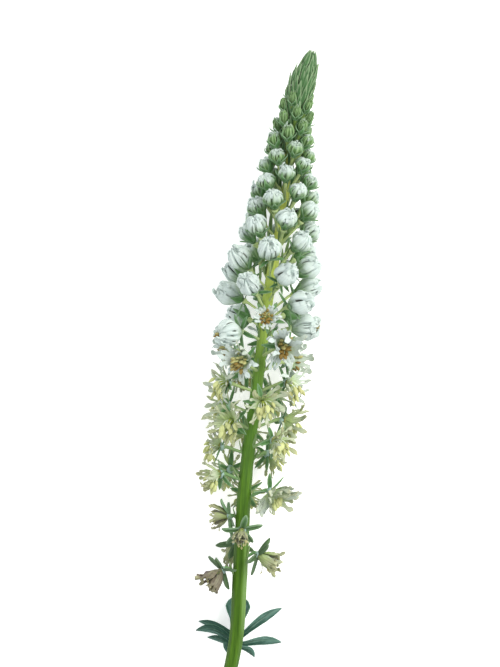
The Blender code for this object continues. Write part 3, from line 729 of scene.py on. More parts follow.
def dome(rows, per_lobe, slit_depth, seed, tips=1.0, taper=0.0):
    """Folded petals of a bud: overlapping petals with slit lobes, whose tips curl on top."""
    draw = np.random.default_rng(seed)
    columns = LOBES * per_lobe
    s = np.linspace(0.0, 1.0, rows + 2)[1:-1][:, None]
    theta = 2 * np.pi * np.arange(columns)[None, :] / columns
    phases = draw.uniform(0, 2 * np.pi, 2)

    # How far across its petal and its lobe each column stands, from -1 to 1.
    petal_place, lobe_place = (theta * count / (2 * np.pi) for count in (PETALS, LOBES))
    u, w = (2 * (place - np.floor(place)) - 1 for place in (petal_place, lobe_place))
    seam_number = np.rint(lobe_place).astype(int) % LOBES
    lobe_number = np.floor(lobe_place).astype(int) % LOBES

    # Slits between the lobes, deepest between petals.
    depth = draw.uniform(0.0, 1.0, LOBES) ** 1.3
    depth[::3] = draw.uniform(0.4, 1.0, PETALS)
    low = draw.uniform(0.46, 0.56, LOBES)[seam_number]
    high = draw.uniform(0.60, 0.74, LOBES)[seam_number]
    window = smoothstep(low - 0.06, low + 0.05, s) * (1 - smoothstep(high - 0.05, high + 0.08, s))
    seam = np.exp(-((1 - np.abs(w)) / 0.34) ** 2) * depth[seam_number]
    edge = np.exp(-((1 - np.abs(u)) / 0.13) ** 2)
    slit = seam * np.maximum(window, 0.5 * smoothstep(0.72, 0.84, s))

    # The wall swells in each petal and lobe, and leans as a whole.
    bulge = draw.uniform(-0.06, 0.08, LOBES)[lobe_number] * (1 - w ** 2)
    ridge = 0.015 * (1 - w ** 2) * smoothstep(0.3, 0.6, s) + bulge * smoothstep(0.35, 0.7, s)
    swell = 1 + 0.05 * (1 - u ** 2) + ridge + 0.10 * u * smoothstep(0.1, 0.45, s)
    swell = swell - slit_depth * slit - 0.10 * edge * smoothstep(0.1, 0.45, s)
    swell = swell - 0.05 * seam * smoothstep(0.25, 0.5, s)
    lean = 1 + 0.08 * np.cos(theta - draw.uniform(0, 6))
    lean = lean + 0.05 * np.cos(2 * theta - draw.uniform(0, 6))
    wall, height = bud_wall(s, taper)
    radius = wall * swell * lean
    lift = draw.uniform(-0.06, 0.09, LOBES)[lobe_number] * (1 - w ** 2)
    level = height + smoothstep(0.6, 0.85, s) * (lift + 0.06 * np.sin(2 * theta + seed))
    twist = theta + 0.22 * np.sin(2 * theta + phases[0]) + 0.12 * np.sin(3 * theta + phases[1])
    twist = twist + 0.3 * s
    points = np.stack((radius * np.cos(twist), radius * np.sin(twist), level), axis=-1)
    points = np.concatenate(([(0, 0, 0)], points.reshape(-1, 3), [(0, 0, float(height[-1, 0]))]))
    share = np.concatenate(([0.0], (s + 0 * theta).ravel(), [1.0]))
    shape = Shape(points, barrel(rows, columns), share=share, slit=np.pad(slit.ravel(), 1),
                  across=np.pad((u + 0 * s).ravel(), 1))
    for lobe in range(LOBES):
        shape = shape + curled_tip(2 * math.pi * (lobe + 0.5) / LOBES + 0.24, tips, draw)
    return shape


def curled_tip(angle, scale, draw):
    """End of a lobe that stands up from the crown of a bud and curls inwards."""
    start = draw.uniform(0.60, 0.86)
    radius, height = (float(value) for value in bud_wall(start))
    reach, rise = draw.uniform(0.22, 0.5) * scale, math.radians(draw.uniform(10, 65))
    curl = math.radians(draw.uniform(60, 150))
    out = np.array((math.cos(angle), math.sin(angle), 0.0))
    side = np.array((-math.sin(angle), math.cos(angle), 0.0))
    up = np.array((0.0, 0.0, 1.0))
    inward = math.atan2(radius, 1.2 - height)
    path = [out * radius * 0.98 + up * height]
    for q in (0.25, 0.5, 0.75, 1.0):
        turn = inward - rise + curl * q
        path.append(path[-1] + (up * math.cos(turn) - out * math.sin(turn)) * reach / 4)
    halves = draw.uniform(0.11, 0.18) * scale * np.array((1.0, 1.1, 1.05, 0.8, 0.3))
    flap = ribbon(path, [side] * 5, halves, 0.07, 3, -0.25)
    flap.marks["share"] = 0.8 + 0.2 * flap.marks["share"]
    flap.marks["slit"] = np.zeros(len(flap.points))
    return flap


def clasping_sepal(reach, half, flare, taper=0.0, thickness=0.07, rows=9):
    """Sepal that hugs a bud, up to a share of the way over it, and stands off at its tip."""
    q = np.linspace(0.0, 1.0, rows)
    radius, height = bud_wall(0.04 + (reach - 0.04) * q, taper)
    radius = radius * 1.08 + 0.03 + flare * q ** 2.5
    path = np.column_stack((radius, 0 * q, height))
    breadth = half * (0.7 + 0.3 * np.sin(np.pi * np.minimum(q * 1.3, 1.0))) * (1 - q ** 3) + 0.02
    return ribbon(path, [(0.0, 1.0, 0.0)] * rows, breadth, thickness, 5, 0.22)


def leaf_lobe(root, point, width, bow, thickness, rows=17):
    """Pointed lobe that arches from the rachis down to its point, folded along its midrib."""
    root, point = np.array(root), np.array(point)
    run = point - root
    flat = unit(np.array((run[0], run[1], 0.0)))
    side = np.array((-flat[1], flat[0], 0.0))
    length = np.linalg.norm(run)
    q = np.linspace(0.0, 1.0, rows)[:, None]
    path = root + run * q + side * bow * length * np.sin(np.pi * q ** 1.35)
    path[:, 2:] += 0.12 * length * np.sin(np.pi * q ** 0.8)
    halves = [width / 2 * read(LOBE_BREADTHS, share) for share in q[:, 0]]
    sides = np.cross((0.0, 0.0, 1.0), np.gradient(path, axis=0))
    sides /= np.linalg.norm(sides, axis=1, keepdims=True)
    lobe = ribbon(path, sides, halves, thickness, 9, -0.4 if width < 3 else -0.12)
    lobe.points[:, 2] += 0.05 * np.sin(lobe.marks["share"] * 15 + lobe.marks["across"] * 2)
    return lobe


# ---- Placing what repeats --------------------------------------------------------------

class Marks:
    """Places where shapes are set: origin, frame, size, which shape, and tints."""

    def __init__(self):
        self.rows = []

    def set(self, origin, turn, size, pick, **tints):
        """One mark. Size is one number, or one for each of the shape's own axes."""
        turn = Matrix(turn.tolist()).to_quaternion()
        size = (size,) * 3 if np.isscalar(size) else tuple(size)
        place = (np.asarray(origin) - BOX_MIDDLE) * MM
        self.rows.append((tuple(place), tuple(turn), size, pick, tints))

    def object(self, name):
        """Object whose points carry the marks."""
        places, turns, sizes, picks, tints = zip(*self.rows)
        mesh = new_mesh(name, places)
        mark_points(mesh, "turn", "QUATERNION", turns)
        mark_points(mesh, "size", "FLOAT_VECTOR", sizes)
        mark_points(mesh, "pick", "INT", picks)
        for key in sorted({key for row in tints for key in row}):
            mark_points(mesh, key, "FLOAT", [row.get(key, 0.0) for row in tints])
        return shown(name, mesh)


def new_mesh(name, points, edges=(), faces=()):
    """Mesh of points in metres, edges and faces."""
    mesh = bpy.data.meshes.new(name)
    mesh.from_pydata(points, edges, faces)
    return mesh


def shown(name, data):
    """New object in the scene."""
    item = bpy.data.objects.new(name, data)
    bpy.context.scene.collection.objects.link(item)
    return item


def operator_pair(operation):
    """An operator of a wire and its reflected form, which add one kind of Math node."""
    def forward(wire, other):
        return wire.nodes.math(operation, wire, other)

    def reflected(wire, other):
        return wire.nodes.math(operation, other, wire)

    return forward, reflected


class Wire:
    """Output of a node. Sums and products with other wires or numbers add Math nodes."""

    def __init__(self, nodes, socket):
        self.nodes, self.socket = nodes, socket

    __add__, __radd__ = operator_pair("ADD")
    __sub__, __rsub__ = operator_pair("SUBTRACT")
    __mul__, __rmul__ = operator_pair("MULTIPLY")
    __truediv__, __rtruediv__ = operator_pair("DIVIDE")

    def __abs__(self):
        return self.nodes.math("ABSOLUTE", self)

    def cosine(self):
        """Cosine of the wire."""
        return self.nodes.math("COSINE", self)

    def wave(self):
        """From 1 to 0 and back, once in every 2 pi."""
        return self.cosine() * 0.5 + 0.5

    def step(self, low, high):
        """Smooth step from 0 at low to 1 at high."""
        return self.nodes.node("ShaderNodeMapRange", {"interpolation_type": "SMOOTHSTEP"},
                               [self, low, high, 0.0, 1.0])


class Nodes:
    """Adds nodes to one tree."""

    def __init__(self, tree):
        self.tree = tree

    def feed(self, made, key, value):
        """Link a socket to a wire, or set it to a value."""
        if isinstance(value, Wire):
            self.tree.links.new(value.socket, made.inputs[key])
        else:
            made.inputs[key].default_value = value

    def node(self, kind, settings=None, inputs=(), out=0):
        """Node of a type: its settings are set first, then its sockets' values or links."""
        made = self.tree.nodes.new(kind)
        for key, value in (settings or {}).items():
            setattr(made, key, value)
        for key, value in inputs.items() if isinstance(inputs, dict) else enumerate(inputs):
            self.feed(made, key, value)
        return Wire(self, made.outputs[out])

    def math(self, operation, *values):
        """Math node on wires and numbers."""
        return self.node("ShaderNodeMath", {"operation": operation}, values)

    def scaled(self, vector, factor):
        """Vector or colour times a number."""
        return self.node("ShaderNodeVectorMath", {"operation": "SCALE"},
                         {0: vector, "Scale": factor})


class GeometryTree(Nodes):
    """Geometry Nodes tree with named inputs, which ends in Realize Instances and Set Material."""

    def __init__(self, name, inputs):
        super().__init__(bpy.data.node_groups.new(name, "GeometryNodeTree"))
        face = self.tree.interface
        face.new_socket("Geometry", in_out="INPUT", socket_type="NodeSocketGeometry")
        self.keys = {}
        for label, kind, default in inputs + [("Finish", "NodeSocketMaterial", None)]:
            socket = face.new_socket(label, in_out="INPUT", socket_type=kind)
            if default is not None:
                socket.default_value = default
            self.keys[label] = socket.identifier
        face.new_socket("Geometry", in_out="OUTPUT", socket_type="NodeSocketGeometry")
        self.source = self.tree.nodes.new("NodeGroupInput")

    def given(self, label):
        """Wire of a named input."""
        return Wire(self, self.source.outputs[label])

    def end(self, geometry):
        """Close the tree."""
        real = self.node("GeometryNodeRealizeInstances", None, {"Geometry": geometry})
        painted = self.node("GeometryNodeSetMaterial", None,
                            {"Geometry": real, "Material": self.given("Finish")})
        out = self.tree.nodes.new("NodeGroupOutput")
        self.tree.links.new(painted.socket, out.inputs["Geometry"])
        return self

    def apply(self, name, source, finish, **values):
        """Plain mesh object that the tree makes of a source object."""
        modifier = source.modifiers.new("grow", "NODES")
        modifier.node_group = self.tree
        modifier[self.keys["Finish"]] = finish
        for label, value in values.items():
            modifier[self.keys[label.replace("_", " ")]] = value
        view = bpy.context.evaluated_depsgraph_get()
        mesh = bpy.data.meshes.new_from_object(source.evaluated_get(view))
        source.modifiers.remove(modifier)
        bpy.data.objects.remove(source, do_unlink=True)
        mesh.name = name
        for key in ("turn", "size", "pick"):
            if key in mesh.attributes:
                mesh.attributes.remove(mesh.attributes[key])
        return shown(name, mesh)


@functools.cache
def placing_tree():
    """Tree that sets a shape of a collection on every mark."""
    tree = GeometryTree("place_on_marks", [
        ("Shapes", "NodeSocketCollection", None), ("Size", "NodeSocketFloat", 1.0),
        ("Size play", "NodeSocketFloat", 0.0), ("Seed", "NodeSocketInt", 1)])
    shapes = tree.node("GeometryNodeCollectionInfo", {"transform_space": "ORIGINAL"},
                       [tree.given("Shapes"), True, True])
    turn, size, pick = (
        tree.node("GeometryNodeInputNamedAttribute", {"data_type": kind}, [name])
        for name, kind in (("turn", "QUATERNION"), ("size", "FLOAT_VECTOR"), ("pick", "INT")))
    most = tree.given("Size play")
    play = tree.node("FunctionNodeRandomValue", {"data_type": "FLOAT"},
                     {2: 0.0 - most, 3: most, "Seed": tree.given("Seed")}, out=1)
    return tree.end(tree.node("GeometryNodeInstanceOnPoints", None, {
        "Points": tree.given("Geometry"), "Instance": shapes, "Pick Instance": True,
        "Instance Index": pick, "Rotation": turn,
        "Scale": tree.scaled(size, (play + 1.0) * tree.given("Size"))}))


@functools.cache
def tube_tree():
    """Tree that grows a ribbed tube of the marked girth round every chain of edges."""
    tree = GeometryTree("ribbed_tube", [
        ("Sides", "NodeSocketInt", 8), ("Ribs", "NodeSocketInt", 0),
        ("Rib depth", "NodeSocketFloat", 0.0)])
    girth = tree.node("GeometryNodeInputNamedAttribute", {"data_type": "FLOAT"}, ["girth"])
    curve = tree.node("GeometryNodeMeshToCurve", None, [tree.given("Geometry")])
    curve = tree.node("GeometryNodeSetCurveNormal", {"mode": "Z_UP"}, {"Curve": curve})
    circle = tree.node("GeometryNodeCurvePrimitiveCircle", {"mode": "RADIUS"},
                       {"Resolution": tree.given("Sides"), "Radius": 1.0})
    turn = tree.node("GeometryNodeInputIndex") / tree.given("Sides")
    groove = 1.0 - (turn * tree.given("Ribs") * (2 * math.pi)).cosine()
    reach = 1.0 - groove * 0.5 * tree.given("Rib depth")
    profile = tree.node("GeometryNodeSetPosition", None, {
        "Geometry": circle,
        "Position": tree.scaled(tree.node("GeometryNodeInputPosition"), reach)})
    profile = tree.node(
        "GeometryNodeStoreNamedAttribute", {"data_type": "FLOAT", "domain": "POINT"},
        {"Geometry": profile, "Name": "around", "Value": turn})
    grown = tree.node("GeometryNodeCurveToMesh", None, {
        "Curve": curve, "Profile Curve": profile, "Scale": girth, "Fill Caps": True})
    return tree.end(tree.node("GeometryNodeSetShadeSmooth", None, {"Geometry": grown}))


class Kit:
    """Shapes of some kinds, ready to be set on marks, in a collection outside the scene."""

    def __init__(self, name, **kinds):
        self.shapes, self.numbers = [], {}
        for kind, shapes in kinds.items():
            first = len(self.shapes)
            self.shapes += shapes
            self.numbers[kind] = range(first, len(self.shapes))
        self.collection = bpy.data.collections.new(name)
        for number, shape in enumerate(self.shapes):
            title = f"{name}_{number:02d}"
            self.collection.objects.link(bpy.data.objects.new(title, shape.mesh(title)))

    def place(self, name, marks, finish, play=0.0, seed=1):
        """Piece made by setting the shapes on marks."""
        return placing_tree().apply(name, marks.object(name + "_marks"), finish,
                                    Shapes=self.collection, Size_play=play, Seed=seed)

    def drop(self):
        """Remove the shapes."""
        for item in list(self.collection.objects):
            bpy.data.objects.remove(item, do_unlink=True)
        bpy.data.collections.remove(self.collection)


def grow_tubes(name, chains, finish, sides, ribs=0, depth=0.0):
    """Green piece made of tubes along chains of (point, girth) pairs."""
    points, edges, girths = [], [], []
    for chain in chains:
        first = len(points)
        points += [tuple((np.asarray(p) - BOX_MIDDLE) * MM) for p, _ in chain]
        girths += [girth * MM for _, girth in chain]
        edges += [(n, n + 1) for n in range(first, len(points) - 1)]
    mesh = new_mesh(name + "_path", points, edges)
    mark_points(mesh, "girth", "FLOAT", girths)
    piece = tube_tree().apply(name, shown(name + "_path", mesh), finish, Sides=sides, Ribs=ribs,
                              Rib_depth=depth)
    stand_for(piece, *GREEN_STEM)


def stand_for(piece, nodes, slot):
    """Settle the piece on the floor inside the part's box, and let it stand for its nodes."""
    mesh = piece.data
    (left, _, _), (right, _, top) = CAD_BOX
    places = np.empty(len(mesh.vertices) * 3, np.float32)
    mesh.vertices.foreach_get("co", places)
    places = places.reshape(-1, 3)
    places[:, 0] = np.clip(places[:, 0], left, right)
    places[:, 2] = np.clip(places[:, 2], FLOOR_GAP * MM, top)
    mesh.vertices.foreach_set("co", places.ravel())
    mesh.update()
    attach(piece, "root")
    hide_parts(*nodes)


# ---- Finishes --------------------------------------------------------------------------

class Finish(Nodes):
    """Material whose colour, roughness and bump come from nodes."""

    def __init__(self, name):
        self.material = bpy.data.materials.new(name)
        self.material.use_nodes = True
        super().__init__(self.material.node_tree)
        self.place = self.scaled(self.node("ShaderNodeTexCoord", out=3), 1 / MM)

    def mark(self, name):
        """Number that the mesh carries at each point."""
        return self.node("ShaderNodeAttribute", {"attribute_name": name}, out=2)

    def noise(self, scale, detail=2.0, stretch=(1.0, 1.0, 1.0)):
        """Noise at a scale per mm, stretched along an axis by a number under 1."""
        place = self.node("ShaderNodeVectorMath", {"operation": "MULTIPLY"}, [self.place, stretch])
        return self.node("ShaderNodeTexNoise", None, {
            "Vector": place, "Scale": scale, "Detail": detail, "Roughness": 0.55})

    def along(self, axis):
        """The place along X, Y or Z in mm."""
        return self.node("ShaderNodeSeparateXYZ", None, [self.place], out="XYZ".index(axis))

    def mix(self, factor, first, second):
        """Colour between two colours."""
        first, second = (c if isinstance(c, Wire) else (*c, 1.0) for c in (first, second))
        return self.node("ShaderNodeMix", {"data_type": "RGBA", "clamp_factor": True},
                         {0: factor, 6: first, 7: second}, out=2)

    def layers(self, colour, *coats):
        """Colour under coats, each a factor and a colour."""
        for factor, coat in coats:
            colour = self.mix(factor, colour, coat)
        return colour

    def darken(self, colour, factor, depth):
        """Colour made darker where factor is 1."""
        return self.mix(factor, colour, self.scaled(colour, 1.0 - depth))

    def finish(self, colour, roughness, height, distance, gloss, flesh=None):
        """Link what varies and set what doesn't, and return the material."""
        bump = self.node("ShaderNodeBump", None, {
            "Strength": 0.6, "Distance": distance * MM, "Height": height})
        shader = self.tree.nodes["Principled BSDF"]
        sockets = {"Base Color": colour, "Roughness": roughness, "Normal": bump,
                   "Specular IOR Level": gloss, **(flesh or {})}
        for key, value in sockets.items():
            self.feed(shader, key, value)
        return self.material


def stem_finish(settings):
    """Ribbed green skin: yellow-green among the buds, with streaks, paler ribs that carry a painted
    highlight, and painted light on the lower stem's right-hand side.
    """
    f = Finish("mignonette_stem")
    turn, y = f.mark("around"), f.along("Y")
    streak = f.noise(1.6, 3.0, (1.0, 0.06, 1.0))
    fine = f.noise(6.0, 2.0, (1.0, 0.08, 1.0))
    level = y + f.noise(0.12, 1.0) * 14.0 - 7.0
    height = level.step(-8.0, 32.0)
    rib = (turn * (2 * math.pi * settings.ribs)).wave()
    line = (turn * (2 * math.pi * 17)).wave().step(0.72, 1.0)
    # Paler ribs and streaks: the skin's streaky tone, with a painted highlight along each rib's
    # ridge.
    rib_highlight_colour = f.mix(height, (0.14, 0.29, 0.02), (0.62, 0.71, 0.20))
    # Painted light: low on the stem, the side whose normal faces +X is painted paler, as if lit by
    # the key light from the right.
    right = f.node("ShaderNodeSeparateXYZ", None, [f.node("ShaderNodeTexCoord", out=1)])
    low = y.step(-24.0, -42.0) * (streak + 0.3) * (1.0 - y.step(-48.0, -60.0) * 0.95)
    colour = f.layers(
        settings.low_colour, (level.step(-37.0, 3.0), settings.middle_colour),
        (height, settings.high_colour), (y.step(18.0, 34.0) * 0.65, (0.74, 0.78, 0.16)),
        (rib * 0.20 + 0.08 + (streak - 0.5) * 0.8, rib_highlight_colour),
        (right.step(0.0, 0.7) * low * 0.8, (0.17, 0.30, 0.08)))
    colour = f.darken(colour, line * 0.6 * streak + (fine - 0.45) * 1.6, 0.40)
    relief = streak * 0.6 + fine * 0.4 - line * 0.3
    return f.finish(colour, 0.46 + streak * 0.2, relief, distance=0.07, gloss=0.18)


def stalk_finish():
    """Yellow-green stalks, blue-green low on the spike, with a pale glaucous cup."""
    f = Finish("mignonette_stalk")
    y, patch = f.along("Y"), f.noise(1.4, 2.0)
    cup = (f.mark("girth") * (1 / MM)).step(0.45, 0.8) * (1.0 - y.step(4.0, 14.0) * 0.9)
    colour = f.layers(
        (0.12, 0.25, 0.09), (y.step(-30.0, 14.0), (0.50, 0.60, 0.26)),
        ((patch - 0.4) * 1.2, (0.17, 0.31, 0.13)), (y.step(40.0, 56.0), (0.12, 0.20, 0.04)),
        (cup * (patch * 0.5 + 0.6), (0.34, 0.47, 0.45)))
    return f.finish(colour, 0.5, patch, distance=0.04, gloss=0.3)


def green_finish(name, colour, tip, edge, low, spread=1.9):
    """Glaucous green: paler edge and tip, painted shade along the folded middle line and at the
    root, and another colour low down.
    """
    f = Finish(name)
    share, across = f.mark("share"), abs(f.mark("across"))
    patch, fine = f.noise(0.9, 3.0), f.noise(7.0, 2.0)
    start, end, low_colour = low
    skin = f.layers(
        colour, ((patch - 0.35) * 1.5, tuple(c * spread for c in colour)),
        (across.step(0.5, 1.0) * 0.8, edge), (share.step(0.6, 1.0) * 0.6, tip),
        (f.along("Y").step(start, end) * 0.8, low_colour))
    # Painted shade: the crease along each blade's middle line and its root are darkened, and a
    # piece without share or across marks is darkened most.
    keel_shade, root = (1.0 - across).step(0.75, 1.0), (1.0 - share).step(0.7, 1.0)
    skin = f.darken(skin, keel_shade * 0.6 + root * 0.5, 0.5)
    return f.finish(skin, 0.5 + fine * 0.2, fine, distance=0.04, gloss=0.35)


def petal_finish(settings):
    """Thin petals: bluish white when young, cream with greenish veining when old, then dry; the
    veining is darkened further as painted shade, and the finger rims are partly a brown edge and
    partly painted shade.
    """
    f = Finish("mignonette_petal")
    share, across, age = f.mark("share"), f.mark("across"), f.mark("age")
    patch = f.noise(0.8, 3.0)
    vein = (across * 19.0 + share * 2.0).wave()
    white = f.mix((share + (patch - 0.5) * 0.5).step(0.0, 0.5), (0.36, 0.47, 0.20),
                  settings.young_colour)
    cream = f.mix((share + (patch - 0.5) * 0.9).step(0.05, 0.9), (0.34, 0.45, 0.16),
                  settings.old_colour)
    dry = f.mix((patch - 0.5) * 2.0 + share.step(0.7, 1.05), settings.dry_colour,
                (0.34, 0.35, 0.22))
    colour = f.mix(age - 1.0, f.mix(age, white, cream), dry)
    # Veining darkened, partly its own tone and partly painted shade, strongest towards the petal's
    # base.
    veins_and_shade = vein.step(0.65, 1.0) * (1.15 - share * 0.6 + (age - 1.0) * 0.9)
    colour = f.darken(colour, veins_and_shade, 0.22)
    ripe = f.math("MAXIMUM", age, 0.0)
    colour = f.mix(share.step(0.84, 1.04) * ripe * (2.3 - ripe) * 0.5, colour, (0.50, 0.48, 0.23))
    # Dark finger rims: partly a brown edge, partly painted shade in the gaps between the fingers.
    rim = f.mark("rim").step(0.72, 1.0) * (patch + 0.1) * (ripe * 0.45 + 0.5)
    colour = f.mix(rim, colour, (0.17, 0.16, 0.075))
    return f.finish(colour, 0.55, vein * 0.5 + patch, distance=0.06, gloss=0.25, flesh=PETAL_FLESH)


def heart_finish(settings):
    """Threads, anthers, seed case and disc, told apart by the anther mark."""
    f = Finish("mignonette_heart")
    part, share, ripe = f.mark("anther"), f.mark("share"), f.mark("ripe")
    patch = f.noise(2.2, 3.0)
    thread = f.layers((0.45, 0.56, 0.26), (share.step(0.0, 0.6), (0.72, 0.78, 0.62)),
                      (ripe - 1.0, (0.10, 0.09, 0.07)))
    shade = f.mix(ripe, (0.14, 0.08, 0.013), (0.42, 0.44, 0.14))
    sac = f.layers(settings.young_anther, (ripe, settings.ripe_anther),
                   ((patch - 0.48) * 1.8, shade), ((ripe - 1.0) * 0.9, (0.30, 0.25, 0.11)))
    case = f.mix(share + (patch - 0.5), (0.17, 0.30, 0.04), (0.40, 0.47, 0.10))
    disc = f.mix(patch, (0.19, 0.19, 0.05), (0.30, 0.31, 0.10))
    colour = f.layers(thread, *((part.step(number + 0.4, number + 0.6), coat)
                                for number, coat in enumerate((sac, case, disc))))
    return f.finish(colour, 0.55, patch, distance=0.05, gloss=0.3)


def bud_finish(settings):
    """Folded petals: white domes whose slits are painted near-black as shade and whose base carries
    painted shade, green low down and on young buds.
    """
    f = Finish("mignonette_bud")
    share, slit, across, youth = (f.mark(name) for name in ("share", "slit", "across", "youth"))
    patch = f.noise(0.8, 3.0)
    line = (across * 26.0).wave()
    streak = (across * 9.4).wave().step(0.3, 1.0)
    low = (share + (patch - 0.5) * 0.3 - youth * 0.41).step(0.04, 0.50)
    colour = f.layers(
        settings.green, (patch, (0.07, 0.16, 0.045)), (streak, (0.23, 0.36, 0.16)),
        (low, settings.white), ((patch - 0.44) * 1.6 * low, (0.50, 0.61, 0.59)))
    colour = f.darken(colour, line.step(0.6, 1.0) * 0.6, 0.12)
    # Painted shade: the base of the bud, where it sits in its calyx and among its neighbours, is
    # darkened, most on young buds.
    colour = f.darken(colour, (0.34 - share).step(0.0, 0.3) * (youth + 0.2), 0.6)
    # Painted shade: the slits are painted near-black, as the shaded hollow inside the bud.
    colour = f.mix(slit.step(0.28, 0.62) * (1.0 - youth * 0.35), colour, (0.03, 0.032, 0.018))
    return f.finish(colour, 0.55, line * 0.5 + patch * 0.7, distance=0.06, gloss=0.25,
                    flesh=PETAL_FLESH)


def leaf_finish(settings):
    """Blue-green blade with a waxy bloom and painted highlights, one half of each folded lobe and
    the right-hand lobes painted lighter as lit, a pale midrib and veining at the sides.
    """
    f = Finish("mignonette_leaf")
    share, across, x = f.mark("share"), f.mark("across"), f.along("X")
    side = abs(across)
    patch, fine = f.noise(0.5, 3.0), f.noise(5.0, 2.0)
    vein = (share * 34.0 - side * 5.0).wave().step(0.8, 1.0)
    grain = f.node("ShaderNodeCombineXYZ", None, [share * 2.2, across * 2.4, x * 0.1])
    streak = f.node("ShaderNodeTexNoise", None, {"Vector": grain, "Scale": 1.6, "Detail": 3.0})
    # Waxy bloom with painted light: streaks of painted highlight along the blade, one half of each
    # folded lobe painted lighter as its lit side, and lobes lighter towards +X, where the light
    # comes from.
    bloom = (across * 0.5 + (streak - 0.5) * 3.2 + (patch - 0.5) * 0.8 + share * 0.8
             + x * 0.02).step(-0.1, 1.3)
    colour = f.layers(
        settings.dark, (bloom, settings.pale),
        ((1.0 - side).step(0.9, 1.0) * 0.3, (0.12, 0.22, 0.12)),
        (side.step(0.84, 1.0) * 0.6, (0.14, 0.29, 0.20)), (vein * 0.12, (0.10, 0.22, 0.15)))
    return f.finish(colour, 0.42 + fine * 0.15, fine * 0.5 - vein * 0.5, distance=0.06, gloss=0.3)


# ---- Pieces ----------------------------------------------------------------------------

def stalk_chain(site, top, cup):
    """Path of a flower stalk with its girths, from inside the stem to its cup."""
    foot = site.stalk_foot()
    end = top - site.axis * cup
    apart = np.linalg.norm(end - foot)
    middle = (foot + end) / 2 - site.axis * apart * 0.10 - site.along * apart * 0.05
    girth = 0.33 if site.stage == "white bud" else 0.40
    return [(foot * (1 - q) ** 2 + middle * 2 * q * (1 - q) + end * q ** 2,
             girth - 0.07 * math.sin(math.pi * q)) for q in np.linspace(0.0, 1.0, 7)]


def bud_size(site):
    """Foot, width and height of a bud, at the largest size that its cell holds."""
    wide, tall = site.half_width, site.length
    if site.stage == "white bud":
        wide, origin, low = min(wide, WIDEST_BUD), site.seat + site.axis * SEAT_GAP, 0.0
    else:
        origin, low = site.centre, -0.5
    angles = np.linspace(0.0, 2 * np.pi, 16, endpoint=False)
    rings = [np.column_stack((r * np.cos(angles) * wide, r * np.sin(angles) * wide,
                              np.full(16, (z + low) * tall)))
             for z, r in ((0.05, 0.44), (0.2, 0.8), (0.5, 1.0), (0.8, 0.8), (1.0, 0.1))]
    size = room(site.walls, origin, site.turned(0.0), np.concatenate(rings), most=1.0, least=0.55,
                slack=0.12)
    foot = origin + site.axis * low * tall * size
    return foot, wide * size * read(SLIMNESS, site.y), tall * size * BUD_SHORTNESS


def blooms(*stages):
    """Flowers and white buds at these stages, with the number in the names of their nodes."""
    own = [site for site in SITES if site.stage != "green bud"]
    return [(f"{number:02d}", site) for number, site in enumerate(own, 1) if site.stage in stages]


class MIGNONETTE_OT_stem(bpy.types.Operator):
    """Ribbed stem with swellings where its stalks leave"""

    bl_idname = "mignonette.stem"
    bl_label = "Stem"

    def execute(self, context):
        settings = context.scene.mignonette_stem
        feet = [site.stalk_foot()[1] for site in SITES if site.y < LAST_SWELLING]
        reach, share, most = SWELLING
        chain = []
        for y in np.arange(STEM_LINE[0][1], STEM_TOP, STEM_STEP):
            swell = sum(math.exp(-((y - foot) / reach) ** 2) for foot in feet)
            girth = read(STEM_WIDTHS, y) / 2 * (1 + share * min(swell, most))
            chain.append((axis_point(y), girth))
        grow_tubes("stem", [chain], stem_finish(settings), STEM_SIDES, settings.ribs,
                   settings.rib_depth)
        return {"FINISHED"}


class MIGNONETTE_OT_stalks(bpy.types.Operator):
    """Stalks of the flowers and buds, each widening into its cup"""

    bl_idname = "mignonette.stalks"
    bl_label = "Stalks"

    def execute(self, context):
        chains = []
        for site in SITES:
            if site.stage == "green bud":
                foot, wide, _ = bud_size(site)
                chain = stalk_chain(site, foot, cup=0.1)
                chain.append((foot + site.axis * 0.25, min(wide * 0.36, 0.5)))
            else:
                chain = stalk_chain(site, site.seat, cup=1.1)
                share = 0.72 if site.stage == "white bud" else 1.0
                chain += [(site.seat + site.axis * level, girth * share) for level, girth in CUP]
            chains.append(chain)
        grow_tubes("stalks", chains, stalk_finish(), sides=10)
        return {"FINISHED"}


